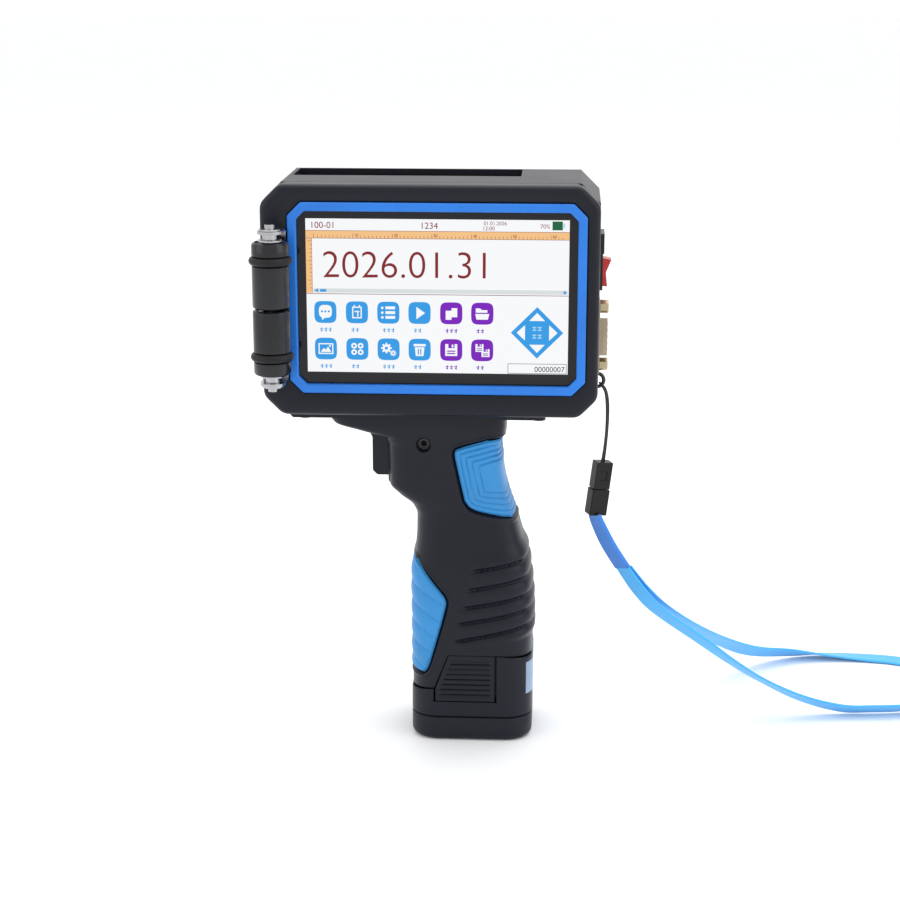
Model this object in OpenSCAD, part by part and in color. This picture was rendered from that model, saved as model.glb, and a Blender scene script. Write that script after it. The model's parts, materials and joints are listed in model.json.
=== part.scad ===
// Date code inkjet printer: a hand-held coder with a touch screen head, a pistol handle,
// a stick battery and a wrist lanyard. The table is z = 0 and the origin is the middle of
// the battery's base. The screen faces -Y, the print side with its rollers faces -X.

/* [Head] */
// Width of the head
head_w = 139.5; // [136:0.5:170]
// Height of the head
head_h = 96.5; // [94:0.5:120]
// Depth of the head, front to back
head_d = 62; // [60:0.5:80]
// Depth of the front bezel
bezel_d = 10; // [9:0.5:12]
// Wall of the head's shells
shell_wall = 2.5; // [2:0.1:3]
// Cut across the head's corners
corner_cut = 8; // [5:0.5:10]
// Height of the head's underside above the table
head_rise = 148.3; // [148.3:0.1:160]
// How far the head's middle sits to the print side of the handle's middle
head_shift = 17.25; // [14:0.25:20]
// How far the screen face sits ahead of the handle's middle
face_ahead = 33; // [32:0.5:36]

/* [Screen] */
// Width of the lit screen
screen_w = 108; // [100:1:112]
// Height of the lit screen
screen_h = 64; // [58:0.5:66]
// Width of the blue trim frame
trim_w = 122.5; // [120:0.5:124]
// Height of the blue trim frame
trim_h = 79.4; // [78:0.2:82]
// Width of the trim frame's band
trim_band = 3.6; // [3:0.1:4]
// Cut across the trim frame's corners
trim_cut = 5.5; // [4:0.5:7]
// Thickness of the touch glass
glass_t = 1.2; // [1:0.1:1.6]
// Thickness of the display module
lcd_t = 4.5; // [3.5:0.1:5]

/* [Roller unit] */
// Radius of a roller
roller_r = 7.65; // [6.5:0.05:9]
// Length of one roller
roller_len = 27; // [22:0.5:30]
// How far the rollers stand out past the print side
roller_proud = 1.75; // [1.5:0.05:2.5]
// Radius of the roller axle
axle_r = 2; // [1.5:0.05:2.5]
// Radius of an O-ring's own section
ring_wire_r = 1.75; // [1.4:0.05:2]
// Thickness of the bracket sheet
bracket_t = 1.2; // [1:0.1:1.6]

/* [Ink cartridge] */
// Length of the cartridge body
cartridge_l = 79; // [70:0.5:79]
// Height of the cartridge
cartridge_h = 72; // [60:0.5:74]
// Thickness of the cartridge
cartridge_t = 23.6; // [20:0.1:24]
// Length of the slot in the top of the head
slot_l = 96.5; // [96:0.5:98]
// Width of the slot in the top of the head
slot_w = 25; // [25:0.1:26]

/* [Handle] */
// Thickness of the soft pads
pad_t = 0.9; // [0.6:0.1:1.2]
// Width of the trigger
trigger_w = 12.8; // [10:0.2:14]
// Travel of the trigger
trigger_travel = 5.5; // [3:0.5:6]
// Thickness of the plate between the head and the handle
plate_t = 3.7; // [3:0.1:4.5]

/* [Battery] */
// Height of the battery's base cap
cap_h = 11; // [8:0.5:12]
// Radius of a battery cell
cell_r = 9.2; // [8.5:0.05:9.25]
// Length of a battery cell
cell_l = 65; // [60:0.5:65]
// Thickness of a latch tab
latch_t = 2.2; // [1.6:0.1:2.4]

/* [Lanyard] */
// Radius of the lanyard's string
string_r = 0.45; // [0.4:0.05:0.6]
// Width of the lanyard's strap
strap_w = 10; // [8:0.5:12]
// Thickness of the lanyard's strap
strap_t = 1; // [0.8:0.1:1.2]

/* [Hidden] */
$fn = 48;
fit = 0.3;          // loose gap between neighbouring mouldings
slip = 0.05;        // radial clearance of a running bore
eps = 0.01;         // overshoot of a cut
screw_r = 1.5;      // shank of the M3 screws
char_col = [0.16, 0.17, 0.20];
blue_col = [0.13, 0.47, 0.86];
steel_col = [0.75, 0.76, 0.78];

// Planes of the head
head_x0 = -head_shift - head_w / 2;
head_x1 = -head_shift + head_w / 2;
head_z0 = head_rise;
head_z1 = head_rise + head_h;
face_y = -face_ahead;
seam_y = face_y + bezel_d;
rear_y = face_y + head_d;
edge_bevel = 2;

// Screen stack, seen from the front
trim_x1 = head_x1 - 5.4;
trim_x0 = trim_x1 - trim_w;
trim_z0 = head_z0 + 10;
trim_z1 = trim_z0 + trim_h;
trim_proud = 1;
trim_sink = 1.8;
glass_edge = trim_band - 1.2;
screen_x = (trim_x0 + trim_x1) / 2;
screen_z = (trim_z0 + trim_z1) / 2 + 0.85;
lcd_w = trim_w - 1.8;
lcd_h = trim_h - 3.4;
glass_y = face_y + trim_sink;
lcd_y = glass_y + glass_t;
board_y = lcd_y + lcd_t + 6.5;
board_t = 1.6;
board_w = screen_w - 8;
board_h = screen_h - 4;

// Screws that hold the two shells: distance in from each edge of the head
case_screw_spots = [[head_x0 + 9.5, head_z0 + 5.7], [head_x0 + 7.5, head_z1 - 7.3],
  [head_x1 - 8.5, head_z0 + 7.2], [head_x1 - 8.5, head_z1 - 4.8]];
boss_r = 2.6;
head_sink = 1.9;

// Cartridge bay and the cartridge's slanted way out
slot_x0 = head_x0 + 9.8;
slot_y1 = rear_y - 3.5;
slot_y0 = slot_y1 - slot_w;
bay_y = (slot_y0 + slot_y1) / 2;
carrier_wall = 1.2;
seat_z = head_z0 + shell_wall + 6;
cartridge_z0 = seat_z + 0.2;
cartridge_x0 = head_x0 + 12.5;
snout_l = 9;
snout_z0 = cartridge_z0 + 3;
snout_h = 25;
snout_w = 17;
lid_h = 5;
guide_t = 0.8;
guide_y0 = bay_y - 14.5;
guide_y1 = bay_y + 14.5;
guide_z0 = snout_z0 - 5;
guide_z1 = snout_z0 + snout_h + 12;
guide_screw_ys = [bay_y - 9.5, bay_y + 9.5];
guide_screw_z = guide_z1 - 5;

// Ports on the +X side
port_y = face_y + 30;
usb_z = head_z0 + 69.8;
switch_z = head_z0 + 57.4;
serial_z = head_z0 + 29.7;
eyelet_z = head_z0 + 10.2;
jack_pitch = 25;
jack_hole_r = 1.25;
rocker_x = head_x1 + 0.9;

// Roller unit
roller_x = head_x0 + roller_r - roller_proud;
ring_proud = 1.2;
roller_y = face_y - bracket_t - roller_r - ring_proud - 0.45;
roller_mid = head_z0 + 47.2;
roller_gap = 0.8;
axial_play = 0.1;
washer_t = 0.8;
washer_r = 5;
spacer_l = 2.4;
spacer_r = 2.9;
clip_t = 0.8;
clip_r = 4.4;
stack_h = roller_gap / 2 + roller_len + axial_play + washer_t + spacer_l;
ear_r = 5.2;
bracket_screw_zs = [roller_mid - 11, roller_mid + 11];
ring_r = roller_r + ring_proud - ring_wire_r;
ring_inset = 7.6;

// Plate under the head and the handle's top
plate_x0 = head_x0 + 8.8;
plate_x1 = head_x1 - 21;
plate_y0 = -21;
plate_y1 = 21;
plate_z = head_z0 - plate_t;
cable_x = 0;
cable_y = -10;
cable_r = 6;
neck_bolt_spots = [[-52, -11], [-52, 11], [10.2, -11], [10.2, 11]];
plate_screw_spots = [[plate_x0 + 6.5, -14], [plate_x0 + 6.5, 14], [plate_x1 - 3.6, -14],
  [plate_x1 - 3.6, 14]];

// Handle: height, left side, right side, half thickness and squareness of each section.
// The lower part belongs to the battery, which carries the same form down to the table.
neck_z = plate_z;
grip_n = 3.4;
flange_n = 6;
GRIP = [
  [14, -26.6, 26.3, 23.5, grip_n], [45, -26.7, 26.2, 23.5, grip_n],
  [60, -26.8, 25.8, 23.2, grip_n], [70, -26.9, 25.0, 22.7, grip_n],
  [77, -26.6, 24.1, 22.0, grip_n], [83, -25.6, 23.2, 21.2, grip_n],
  [92, -24.8, 20.7, 19.8, grip_n], [99, -24.7, 18.7, 18.8, grip_n],
  [104, -26.8, 16.4, 18.3, grip_n], [109, -32.8, 14.2, 18.1, 3.8],
  [113.5, -36.4, 12.6, 18, 4.4], [121, -36.6, 11.5, 18, 4.6],
  [131, -36.8, 11.3, 18.2, 5], [134.5, -38, 12.8, 18.6, flange_n],
  [138, -50, 14, 19.2, flange_n], [141, -60, 14.2, 19.5, flange_n],
  [neck_z, -62, 14.2, 19.5, flange_n]];
cavity_top = 137.5;
// Handle screws: place, and the half that the head sits in
handle_screw_spots = [[-20.9, 132.6, -1], [-14, 90, 1], [-20, 108, 1], [10, 100, 1]];
screw_wall = 14.2;
// The battery's outline carries the handle's lower section down to the table
base_x0 = GRIP[0][1];
base_x1 = GRIP[0][2];
base_y = GRIP[0][3];
base_r = 12;
foot_round = 3;

// Line between the handle and the battery, and the latch tab, seen from the front
SEAM = [[-40, 20.5], [-16.4, 24], [-10.3, 39.6], [10.9, 39.6], [40, 36.6]];
LATCH = [[-15.7, 18.2], [10, 18.2], [10, 39.3], [-9.9, 39.3], [-15.7, 23.9]];
LATCH_POCKET = [[-16.6, 18], [10.9, 18], [10.9, 45], [-9.2, 45], [-16.6, 23.6]];
// Soft pads: height, and how far in from the handle's middle the pad's edge lies there
PALM_PAD = [[99.8, 17.4], [101.5, 11], [104, -0.5], [107.4, -3.2], [109, -3.6], [113.5, -4.7],
  [121, -6.3], [129.2, -8.1], [131, -6.4], [134.5, 7]];
FINGER_PAD = [[30.2, -21.4], [32, -19.4], [45, -15.6], [60, -11.5], [64.6, -10.8], [70, -15.6],
  [77, -21.8], [80.5, -24.6]];
pad_gap = 0.4;

// Trigger
trigger_z0 = 115.8;
trigger_z1 = 135.6;
trigger_x0 = -44;
trigger_x1 = -30.6;
trigger_z = (trigger_z0 + trigger_z1) / 2;
switch_x = -17;
switch_pin = [switch_x + 8.5, trigger_z - 4.5];
spring_r = 2.6;
spring_wire = 0.4;
spring_turns = 6;

// Battery tower inside the handle
tower_x0 = -21.4;
tower_x1 = 19.4;
tower_y = 19.1;
tower_wall = 1.3;
tower_z1 = 71.5;
cell_z0 = 4.5;
stem_h = 8;
shelf_z = tower_z1 + stem_h + 0.3;
block_t = 5;

// Lanyard. The string runs from the buckle up through the eyelet and back down.
eyelet_r = 2.9;
eyelet_wire = 0.8;
STRING = [[55.2, -4, 122.4], [56.3, -4.2, 130], [56.9, -4.5, 139], [56.8, -4.8, 148],
  [56, -4.9, 154], [53.7, -3, 157.3], [56.4, -1.1, 154], [57.6, -1.4, 148],
  [57.6, -1.8, 139], [57, -2.1, 130], [56.2, -2.3, 122.4]];
buckle_top = [55.8, -3, 122.6];
buckle_tilt = 7;
// Strap points: place, then the direction of the strap's width there
FOLD = [[[52.6, -3, 98.6], [0.45, -0.9, 0]], [[54.4, -3, 94], [0.5, -0.85, 0.15]],
  [[59, -2.5, 84.5], [0.55, -0.8, 0.2]], [[65.3, -1.9, 74.4], [0.55, -0.8, 0.25]]];
STRAP = [[[65.4, -2.9, 74.4], [0.55, -0.8, 0.25]], [[73.4, -1.5, 62.8], [0.6, -0.75, 0.3]],
  [[82.5, 0.5, 53], [0.6, -0.75, 0.3]], [[100.9, 5, 38.8], [0.45, -0.8, 0.4]],
  [[114.7, 8, 28], [0.3, -0.85, 0.4]], [[128.6, 10, 18.8], [0.2, -0.9, 0.4]],
  [[147, 12, 9.6], [0.2, -0.85, 0.5]], [[165.7, 14, 4.2], [0.1, -0.8, 0.6]],
  [[180, 15, 3.8], [0, -0.8, 0.6]], [[194, 17, 3.8], [0.1, -0.8, 0.6]],
  [[210, 23, 3.6], [0.5, -0.7, 0.5]], [[222, 34, 3.1], [0.8, -0.45, 0.4]],
  [[227, 49, 2.6], [0.95, 0.1, 0.3]], [[224, 65, 1.8], [0.9, 0.4, 0.15]],
  [[215, 78, 1.1], [0.6, 0.8, 0]], [[202, 86, 0.9], [0.2, 1, 0]],
  [[186, 89, 1.1], [0, 1, -0.05]], [[168, 89, 2.2], [0, 0.95, -0.25]],
  [[150, 85, 4.2], [-0.1, 0.8, -0.6]], [[131, 73, 9.2], [-0.3, 0.7, -0.65]],
  [[114.5, 53, 21], [-0.5, 0.7, -0.5]], [[98.5, 30, 36], [-0.6, 0.7, -0.4]],
  [[84, 12, 51.4], [-0.6, 0.75, -0.3]], [[74.4, 3, 63], [-0.6, 0.75, -0.3]],
  [[66.2, -0.9, 74.8], [-0.55, 0.8, -0.25]]];

// ---- shapes used by several pieces ----

function unit(v) = v / norm(v);

// Point at k + t on the smooth curve through the points P
function curve(P, k, t) =
  let (n = len(P) - 1, a = P[max(k - 1, 0)], b = P[k], c = P[min(k + 1, n)], d = P[min(k + 2, n)])
  0.5 * (2 * b + (c - a) * t + (2 * a - 5 * b + 4 * c - d) * t * t
    + (3 * b - a - 3 * c + d) * t * t * t);

function smooth(P, steps) = [for (k = [0 : len(P) - 2], s = [0 : steps - 1]) curve(P, k, s / steps),
  P[len(P) - 1]];

function heading(P, i) = unit(P[min(i + 1, len(P) - 1)] - P[max(i - 1, 0)]);

// Closed skin over a list of rings that all have the same number of points
module skin(rings) {
  m = len(rings[0]);
  n = len(rings);
  points = [for (ring = rings, p = ring) p];
  sides = [for (i = [0 : n - 2], j = [0 : m - 1], half = [0, 1])
    let (a = i * m + j, b = i * m + (j + 1) % m)
    half == 0 ? [a, b, b + m] : [a, b + m, a + m]];
  ends = [[for (j = [m - 1 : -1 : 0]) j], [for (j = [0 : m - 1]) (n - 1) * m + j]];
  polyhedron(points, concat(sides, ends), convexity = 6);
}

// Round tube along the smooth curve through P
module tube(P, r, steps, sides) {
  path = smooth(P, steps);
  skin([for (i = [0 : len(path) - 1])
    let (h = heading(path, i), u = unit(cross(h, abs(h.y) > 0.9 ? [1, 0, 0] : [0, 1, 0])),
      v = cross(h, u))
    [for (j = [0 : sides - 1]) path[i] - r * cos(360 * j / sides) * u
      + r * sin(360 * j / sides) * v]]);
}

// Flat strap along the curve through the points of R, as wide and thick as stated
module ribbon(R, width, thick, steps) {
  path = smooth([for (p = R) p[0]], steps);
  turn = smooth([for (p = R) p[1]], steps);
  skin([for (i = [0 : len(path) - 1])
    let (h = heading(path, i), n = unit(cross(turn[i], h)), w = unit(cross(h, n)))
    [for (c = [[-1, -1], [1, -1], [1, 1], [-1, 1]])
      path[i] + c.x * w * width / 2 + c.y * n * thick / 2]]);
}

// Left side, right side, half thickness and squareness of the handle at height z
function grip_at(z) = [for (c = [1 : 4]) lookup(z, [for (g = GRIP) [g[0], g[c]]])];

// Points round the handle at height z, drawn in by inset, from angle t0 to t1
function level(z, inset, t0, t1, count) =
  let (g = grip_at(z), a = (g[1] - g[0]) / 2 - inset, b = g[2] - inset, c = (g[0] + g[1]) / 2)
  [for (j = [0 : count]) let (t = t0 + (t1 - t0) * j / count, q = 2 / g[3])
    [c + a * sign(cos(t)) * pow(abs(cos(t)), q), b * sign(sin(t)) * pow(abs(sin(t)), q), z]];

// One half of the handle's form, split on its middle plane: side is -1 in front, 1 behind
module grip_form(side) {
  skin([for (g = GRIP) level(g[0], 0, side > 0 ? 180 : 360, side > 0 ? 0 : 180, 14)]);
}

// Angle at which the handle's outline at height z passes x
function angle_at(z, x) =
  let (g = grip_at(z), u = (x - (g[0] + g[1]) / 2) / ((g[1] - g[0]) / 2))
  acos(sign(u) * pow(min(abs(u), 0.995), g[3] / 2));

// A pad laid on the handle: end is 1 on the palm's side, -1 on the fingers' side
module pad_form(edge, end, side) {
  turn = end > 0 ? 0 : 180;
  skin([for (e = edge)
    let (t = angle_at(e[0], e[1]), a = side > 0 ? t : 360 - t, b = side > 0 || end < 0 ? turn : 360,
      t0 = min(a, b), t1 = max(a, b))
    concat(level(e[0], -pad_gap - pad_t, t1, t0, 11), level(e[0], -pad_gap, t0, t1, 11))]);
}

// The battery's outline, drawn in all round by inset
module base_outline(inset) {
  round_rect(base_x0 + inset, base_x1 - inset, -base_y + inset, base_y - inset, base_r - inset);
}

// The battery's rounded foot: the outline with a round lower edge
module foot(z1) {
  r = foot_round;
  linear_extrude(z1) base_outline(r);
  translate([0, 0, r]) linear_extrude(z1 - r) base_outline(0);
  for (x = [base_x0 + base_r, base_x1 - base_r], y = [-1, 1] * (base_y - base_r))
    translate([x, y, r]) rotate_extrude() translate([base_r - r, 0]) circle(r = r);
  for (y = [-1, 1] * (base_y - r)) rod_x(base_x0 + base_r, base_x1 - base_r, y, r, r);
  for (x = [base_x0 + r, base_x1 - r]) rod_y(-base_y + base_r, base_y - base_r, x, r, r);
}

module slab_y(y0, y1) {
  translate([0, y1, 0]) rotate([90, 0, 0]) linear_extrude(y1 - y0) children();
}

module slab_x(x0, x1) {
  translate([x0, 0, 0]) rotate([90, 0, 90]) linear_extrude(x1 - x0) children();
}

module box(x0, x1, y0, y1, z0, z1) {
  translate([x0, y0, z0]) cube([x1 - x0, y1 - y0, z1 - z0]);
}

module rod_x(x0, x1, y, z, r) { translate([x0, y, z]) rotate([0, 90, 0]) cylinder(r = r, h = x1 - x0); }

module rod_y(y0, y1, x, z, r) { translate([x, y1, z]) rotate([90, 0, 0]) cylinder(r = r, h = y1 - y0); }

module rod_z(z0, z1, x, y, r) { translate([x, y, z0]) cylinder(r = r, h = z1 - z0); }

module cut_rect(x0, x1, z0, z1, c) {
  polygon([[x0 + c, z0], [x1 - c, z0], [x1, z0 + c], [x1, z1 - c], [x1 - c, z1],
    [x0 + c, z1], [x0, z1 - c], [x0, z0 + c]]);
}

module round_rect(x0, x1, y0, y1, r) {
  translate([x0 + r, y0]) square([x1 - x0 - 2 * r, y1 - y0]);
  translate([x0, y0 + r]) square([x1 - x0, y1 - y0 - 2 * r]);
  for (x = [x0 + r, x1 - r], y = [y0 + r, y1 - r]) translate([x, y]) circle(r = r);
}

module head_outline(inset) {
  cut_rect(head_x0 + inset, head_x1 - inset, head_z0 + inset, head_z1 - inset,
    corner_cut - inset * 0.586);
}

module trim_outline(inset) {
  cut_rect(trim_x0 + inset, trim_x1 - inset, trim_z0 + inset, trim_z1 - inset,
    trim_cut - inset * 0.586);
}

// ---- head: bezel, screen and boards ----

module front_bezel() {
  color(char_col) difference() {
    union() {
      difference() {
        hull() {
          slab_y(face_y, face_y + eps) head_outline(edge_bevel);
          slab_y(face_y + edge_bevel, seam_y) head_outline(0);
        }
        slab_y(lcd_y, seam_y + eps) head_outline(shell_wall);
      }
      for (s = case_screw_spots) rod_y(lcd_y - eps, seam_y, s.x, s.y, boss_r);
    }
    slab_y(face_y - eps, glass_y) trim_outline(0);
    slab_y(face_y - eps, lcd_y + eps) trim_outline(glass_edge);
    for (s = case_screw_spots) rod_y(lcd_y + 1, seam_y + eps, s.x, s.y, screw_r);
    for (z = bracket_screw_zs) rod_y(face_y - eps, lcd_y - 0.2, roller_x, z, 1.25);
  }
}

module trim_frame() {
  color(blue_col) slab_y(face_y - trim_proud, glass_y) difference() {
    trim_outline(0);
    trim_outline(trim_band);
  }
}

module touch_glass() {
  color([0.1, 0.1, 0.12]) slab_y(glass_y, lcd_y) trim_outline(glass_edge);
}

module lcd_module() {
  color([0.92, 0.94, 0.97]) slab_y(lcd_y, lcd_y + lcd_t) translate([screen_x, screen_z - 0.85])
    square([lcd_w, lcd_h], center = true);
}

module board_corners() {
  for (x = [-1, 1], z = [-1, 1])
    translate([screen_x + x * (board_w / 2 - 4), 0, screen_z + z * (board_h / 2 - 4)]) children();
}

module board_standoffs() {
  color(steel_col) board_corners() rod_y(lcd_y + lcd_t, board_y, 0, 0, 2.5);
}

module main_board() {
  color([0.05, 0.4, 0.2]) slab_y(board_y, board_y + board_t)
    translate([screen_x, screen_z]) square([board_w, board_h], center = true);
}

module board_parts() {
  color([0.12, 0.12, 0.13]) translate([screen_x, board_y + board_t, screen_z]) {
    for (c = [[-22, 8, 16, 1.6], [4, 10, 12, 1.4], [26, -6, 9, 1.2], [-4, -16, 10, 1.2]])
      translate([c.x - c[2] / 2, 0, c.y - c[2] / 2]) cube([c[2], c[3], c[2]]);
    for (x = [-40, -30]) rod_y(0, 7, x, -18, 4);
    translate([34, 0, 12]) cube([6, 6, 14]);
  }
}

// ---- head: rear shell and its fasteners ----

module rear_shell() {
  wall_x0 = head_x1 - shell_wall - eps;
  color(char_col) difference() {
    union() {
      difference() {
        hull() {
          slab_y(seam_y, rear_y - edge_bevel) head_outline(0);
          slab_y(rear_y - eps, rear_y) head_outline(edge_bevel);
        }
        slab_y(seam_y - eps, rear_y - shell_wall) head_outline(shell_wall);
      }
      for (s = case_screw_spots) rod_y(seam_y, rear_y - shell_wall + eps, s.x, s.y, boss_r);
    }
    box(slot_x0, slot_x0 + slot_l, slot_y0, slot_y1, head_z1 - shell_wall - eps, head_z1 + eps);
    box(head_x0 - eps, head_x0 + shell_wall + eps, bay_y - snout_w / 2 - 0.5,
      bay_y + snout_w / 2 + 0.5, snout_z0 - 0.5, snout_z0 + snout_h + 0.5);
    for (s = case_screw_spots) {
      rod_y(seam_y - eps, rear_y + eps, s.x, s.y, screw_r);
      rod_y(rear_y - head_sink, rear_y + eps, s.x, s.y, 2.9);
    }
    box(wall_x0, head_x1 + eps, port_y - 7.5, port_y + 7.5, usb_z - 4.3, usb_z + 4.3);
    box(wall_x0, head_x1 + eps, port_y - 4.6, port_y + 4.6, switch_z - 6.6, switch_z + 6.6);
    box(wall_x0, head_x1 + eps, port_y - 4.4, port_y + 4.4, serial_z - 8.6, serial_z + 8.6);
    for (z = [-1, 1]) rod_x(wall_x0, head_x1 + eps, port_y, serial_z + z * jack_pitch / 2, 1.6);
    for (y = guide_screw_ys) rod_x(head_x0 - eps, head_x0 + shell_wall - 0.3, y, guide_screw_z, 1);
    for (s = plate_screw_spots) rod_z(head_z0 - eps, head_z0 + shell_wall - 0.3, s.x, s.y, screw_r);
    rod_z(head_z0 - eps, head_z0 + shell_wall + eps, cable_x, cable_y, cable_r);
  }
}

module case_screws() {
  color(steel_col) for (s = case_screw_spots) {
    rod_y(lcd_y + 1.5, rear_y - head_sink + eps, s.x, s.y, screw_r);
    rod_y(rear_y - head_sink, rear_y - 0.2, s.x, s.y, 2.75);
  }
}

module guide_plate() {
  color(steel_col) difference() {
    box(head_x0 - guide_t, head_x0, guide_y0, guide_y1, guide_z0, guide_z1);
    box(head_x0 - guide_t - eps, head_x0 + eps, bay_y - snout_w / 2 - 0.5,
      bay_y + snout_w / 2 + 0.5, snout_z0 - 0.5, snout_z0 + snout_h + 0.5);
    for (y = guide_screw_ys)
      rod_x(head_x0 - guide_t - eps, head_x0 + eps, y, guide_screw_z, 1);
  }
}

module guide_screws() {
  color(steel_col) for (y = guide_screw_ys) {
    rod_x(head_x0 - guide_t - 0.6, head_x0 - guide_t, y, guide_screw_z, 2);
    rod_x(head_x0 - guide_t - eps, head_x0 + shell_wall - 0.4, y, guide_screw_z, 1);
  }
}

// ---- cartridge bay ----

module cartridge_carrier() {
  x0 = head_x0 + 13;
  x1 = cartridge_x0 + cartridge_l + 4;
  z0 = head_z0 + shell_wall;
  floor_t = 1.5;
  y0 = bay_y - cartridge_t / 2 - fit;
  y1 = bay_y + cartridge_t / 2 + fit;
  color([0.2, 0.2, 0.22]) {
    box(x0, x1, y0 - carrier_wall, rear_y - shell_wall, z0, z0 + floor_t);
    box(x0, x1, y0 - carrier_wall, y0, z0, z0 + 55);
    box(x0, x1, y1, rear_y - shell_wall, z0, z0 + 55);
    for (x = [x0 + 28, x1 - 14]) box(x, x + 8, y0 - eps, y1 + eps, z0, seat_z);
    box(x1 - carrier_wall, x1, y0 - eps, y1 + eps, z0, seat_z + 8);
  }
}

module contact_board() {
  z0 = head_z0 + shell_wall + 1.5;
  x0 = head_x0 + 16;
  color([0.85, 0.65, 0.2]) {
    box(x0, x0 + 18, bay_y - 7, bay_y + 7, z0, z0 + 1.6);
    for (i = [0 : 3], j = [-1, 1])
      rod_z(z0 + 1.6 - eps, seat_z - 0.1, x0 + 3 + 4 * i, bay_y + 3 * j, 0.6);
  }
}

module cartridge_body() {
  color([0.12, 0.12, 0.13]) {
    box(cartridge_x0, cartridge_x0 + cartridge_l, bay_y - cartridge_t / 2, bay_y + cartridge_t / 2,
      cartridge_z0, cartridge_z0 + cartridge_h - lid_h);
    box(cartridge_x0 - snout_l, cartridge_x0 + eps, bay_y - snout_w / 2, bay_y + snout_w / 2,
      snout_z0, snout_z0 + snout_h);
  }
}

module cartridge_lid() {
  z0 = cartridge_z0 + cartridge_h - lid_h;
  color([0.85, 0.15, 0.12]) {
    box(cartridge_x0, cartridge_x0 + cartridge_l, bay_y - cartridge_t / 2, bay_y + cartridge_t / 2,
      z0, z0 + lid_h - 2);
    box(cartridge_x0 + 6, cartridge_x0 + cartridge_l - 6, bay_y - 6, bay_y + 6,
      z0 + lid_h - 2 - eps, z0 + lid_h);
  }
}

module nozzle_plate() {
  x = cartridge_x0 - snout_l;
  color([0.8, 0.7, 0.4])
    box(x - 0.4, x, bay_y - 4, bay_y + 4, snout_z0 + 5, snout_z0 + snout_h - 5);
}

// ---- ports on the +X side ----

module usb_port() {
  x1 = head_x1 + 2;
  color([0.1, 0.1, 0.11]) {
    difference() {
      box(head_x1 - 12, x1, port_y - 7.5, port_y + 7.5, usb_z - 4.3, usb_z + 4.3);
      box(head_x1 - 10, x1 + eps, port_y - 6.1, port_y + 6.1, usb_z - 2.5, usb_z + 2.5);
    }
    box(head_x1 - 10 - eps, x1 - 1.5, port_y - 5, port_y + 5, usb_z + 0.1, usb_z + 1.9);
  }
}

module switch_housing() {
  x1 = head_x1 + 1.5;
  color([0.1, 0.1, 0.11]) difference() {
    union() {
      box(head_x1 - 14, head_x1 + eps, port_y - 4.6, port_y + 4.6, switch_z - 6.6, switch_z + 6.6);
      box(head_x1, x1, port_y - 5.25, port_y + 5.25, switch_z - 7.5, switch_z + 7.5);
    }
    box(head_x1 - 9, x1 + eps, port_y - 3.6, port_y + 3.6, switch_z - 6.3, switch_z + 6.3);
    rod_y(port_y - 4.2, port_y + 4.2, rocker_x, switch_z, 1);
  }
}

// Rocker, drawn with its top end out
module rocker() {
  translate([rocker_x, port_y, switch_z]) rotate([0, 8, 0]) color([0.8, 0.08, 0.07]) {
    rotate([90, 0, 0]) translate([0, 0, -3.4]) linear_extrude(6.8)
      polygon([[-4.6, -3], [-0.5, -6], [3.4, -5.7], [2, 0], [3.4, 5.7], [-0.5, 6], [-4.6, 3]]);
    rod_y(-4.1, 4.1, 0, 0, 1 - slip);
  }
}

module serial_port() {
  color([0.72, 0.66, 0.55]) difference() {
    union() {
      box(head_x1 - 9, head_x1 + eps, port_y - 4.3, port_y + 4.3, serial_z - 8.5, serial_z + 8.5);
      box(head_x1, head_x1 + 0.8, port_y - 6.2, port_y + 6.2, serial_z - 15.4, serial_z + 15.4);
      slab_x(head_x1 + 0.8 - eps, head_x1 + 4) polygon([[port_y - 4, serial_z - 8],
        [port_y + 4, serial_z - 6.8], [port_y + 4, serial_z + 6.8], [port_y - 4, serial_z + 8]]);
    }
    for (z = [-1, 1])
      rod_x(head_x1 - eps, head_x1 + 0.8 + eps, port_y, serial_z + z * jack_pitch / 2, 1.6);
  }
}

module jackscrews() {
  color([0.8, 0.72, 0.45]) for (z = [-1, 1]) translate([head_x1, port_y, serial_z + z * jack_pitch / 2])
    rotate([0, 90, 0]) difference() {
      union() {
        translate([0, 0, 0.8]) cylinder(r = 2.9, h = 3.6, $fn = 6);
        translate([0, 0, -6]) cylinder(r = 1.6, h = 6.8 + eps);
      }
      translate([0, 0, 0.4]) cylinder(r = jack_hole_r, h = 4.2);
    }
}

module lanyard_eyelet() {
  color(char_col) translate([head_x1, port_y, eyelet_z]) rotate([90, 0, 0])
    rotate([0, 0, -90]) rotate_extrude(angle = 180) translate([eyelet_r, 0]) circle(r = eyelet_wire);
}

// ---- roller unit on the print side ----

module ear(z) {
  difference() {
    union() {
      box(roller_x - ear_r, roller_x + ear_r, roller_y, face_y, z, z + bracket_t);
      rod_z(z, z + bracket_t, roller_x, roller_y, ear_r);
    }
    rod_z(z - eps, z + bracket_t + eps, roller_x, roller_y, axle_r);
  }
}

module roller_bracket() {
  z0 = roller_mid - stack_h;
  z1 = roller_mid + stack_h;
  color(steel_col) {
    ear(z0 - bracket_t);
    ear(z1);
    difference() {
      box(roller_x - ear_r, roller_x + ear_r, face_y - bracket_t, face_y, z0 - bracket_t,
        z1 + bracket_t);
      for (z = bracket_screw_zs) rod_y(face_y - bracket_t - eps, face_y + eps, roller_x, z, 1.25);
    }
  }
}

module bracket_screws() {
  color(steel_col) for (z = bracket_screw_zs) {
    rod_y(face_y - bracket_t - 0.6, face_y - bracket_t, roller_x, z, 2.2);
    rod_y(face_y - bracket_t - eps, lcd_y - 0.4, roller_x, z, 1.25);
  }
}

module roller_axle() {
  h = stack_h + bracket_t + 2.6;
  color(steel_col) rod_z(roller_mid - h, roller_mid + h, roller_x, roller_y, axle_r);
}

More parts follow.
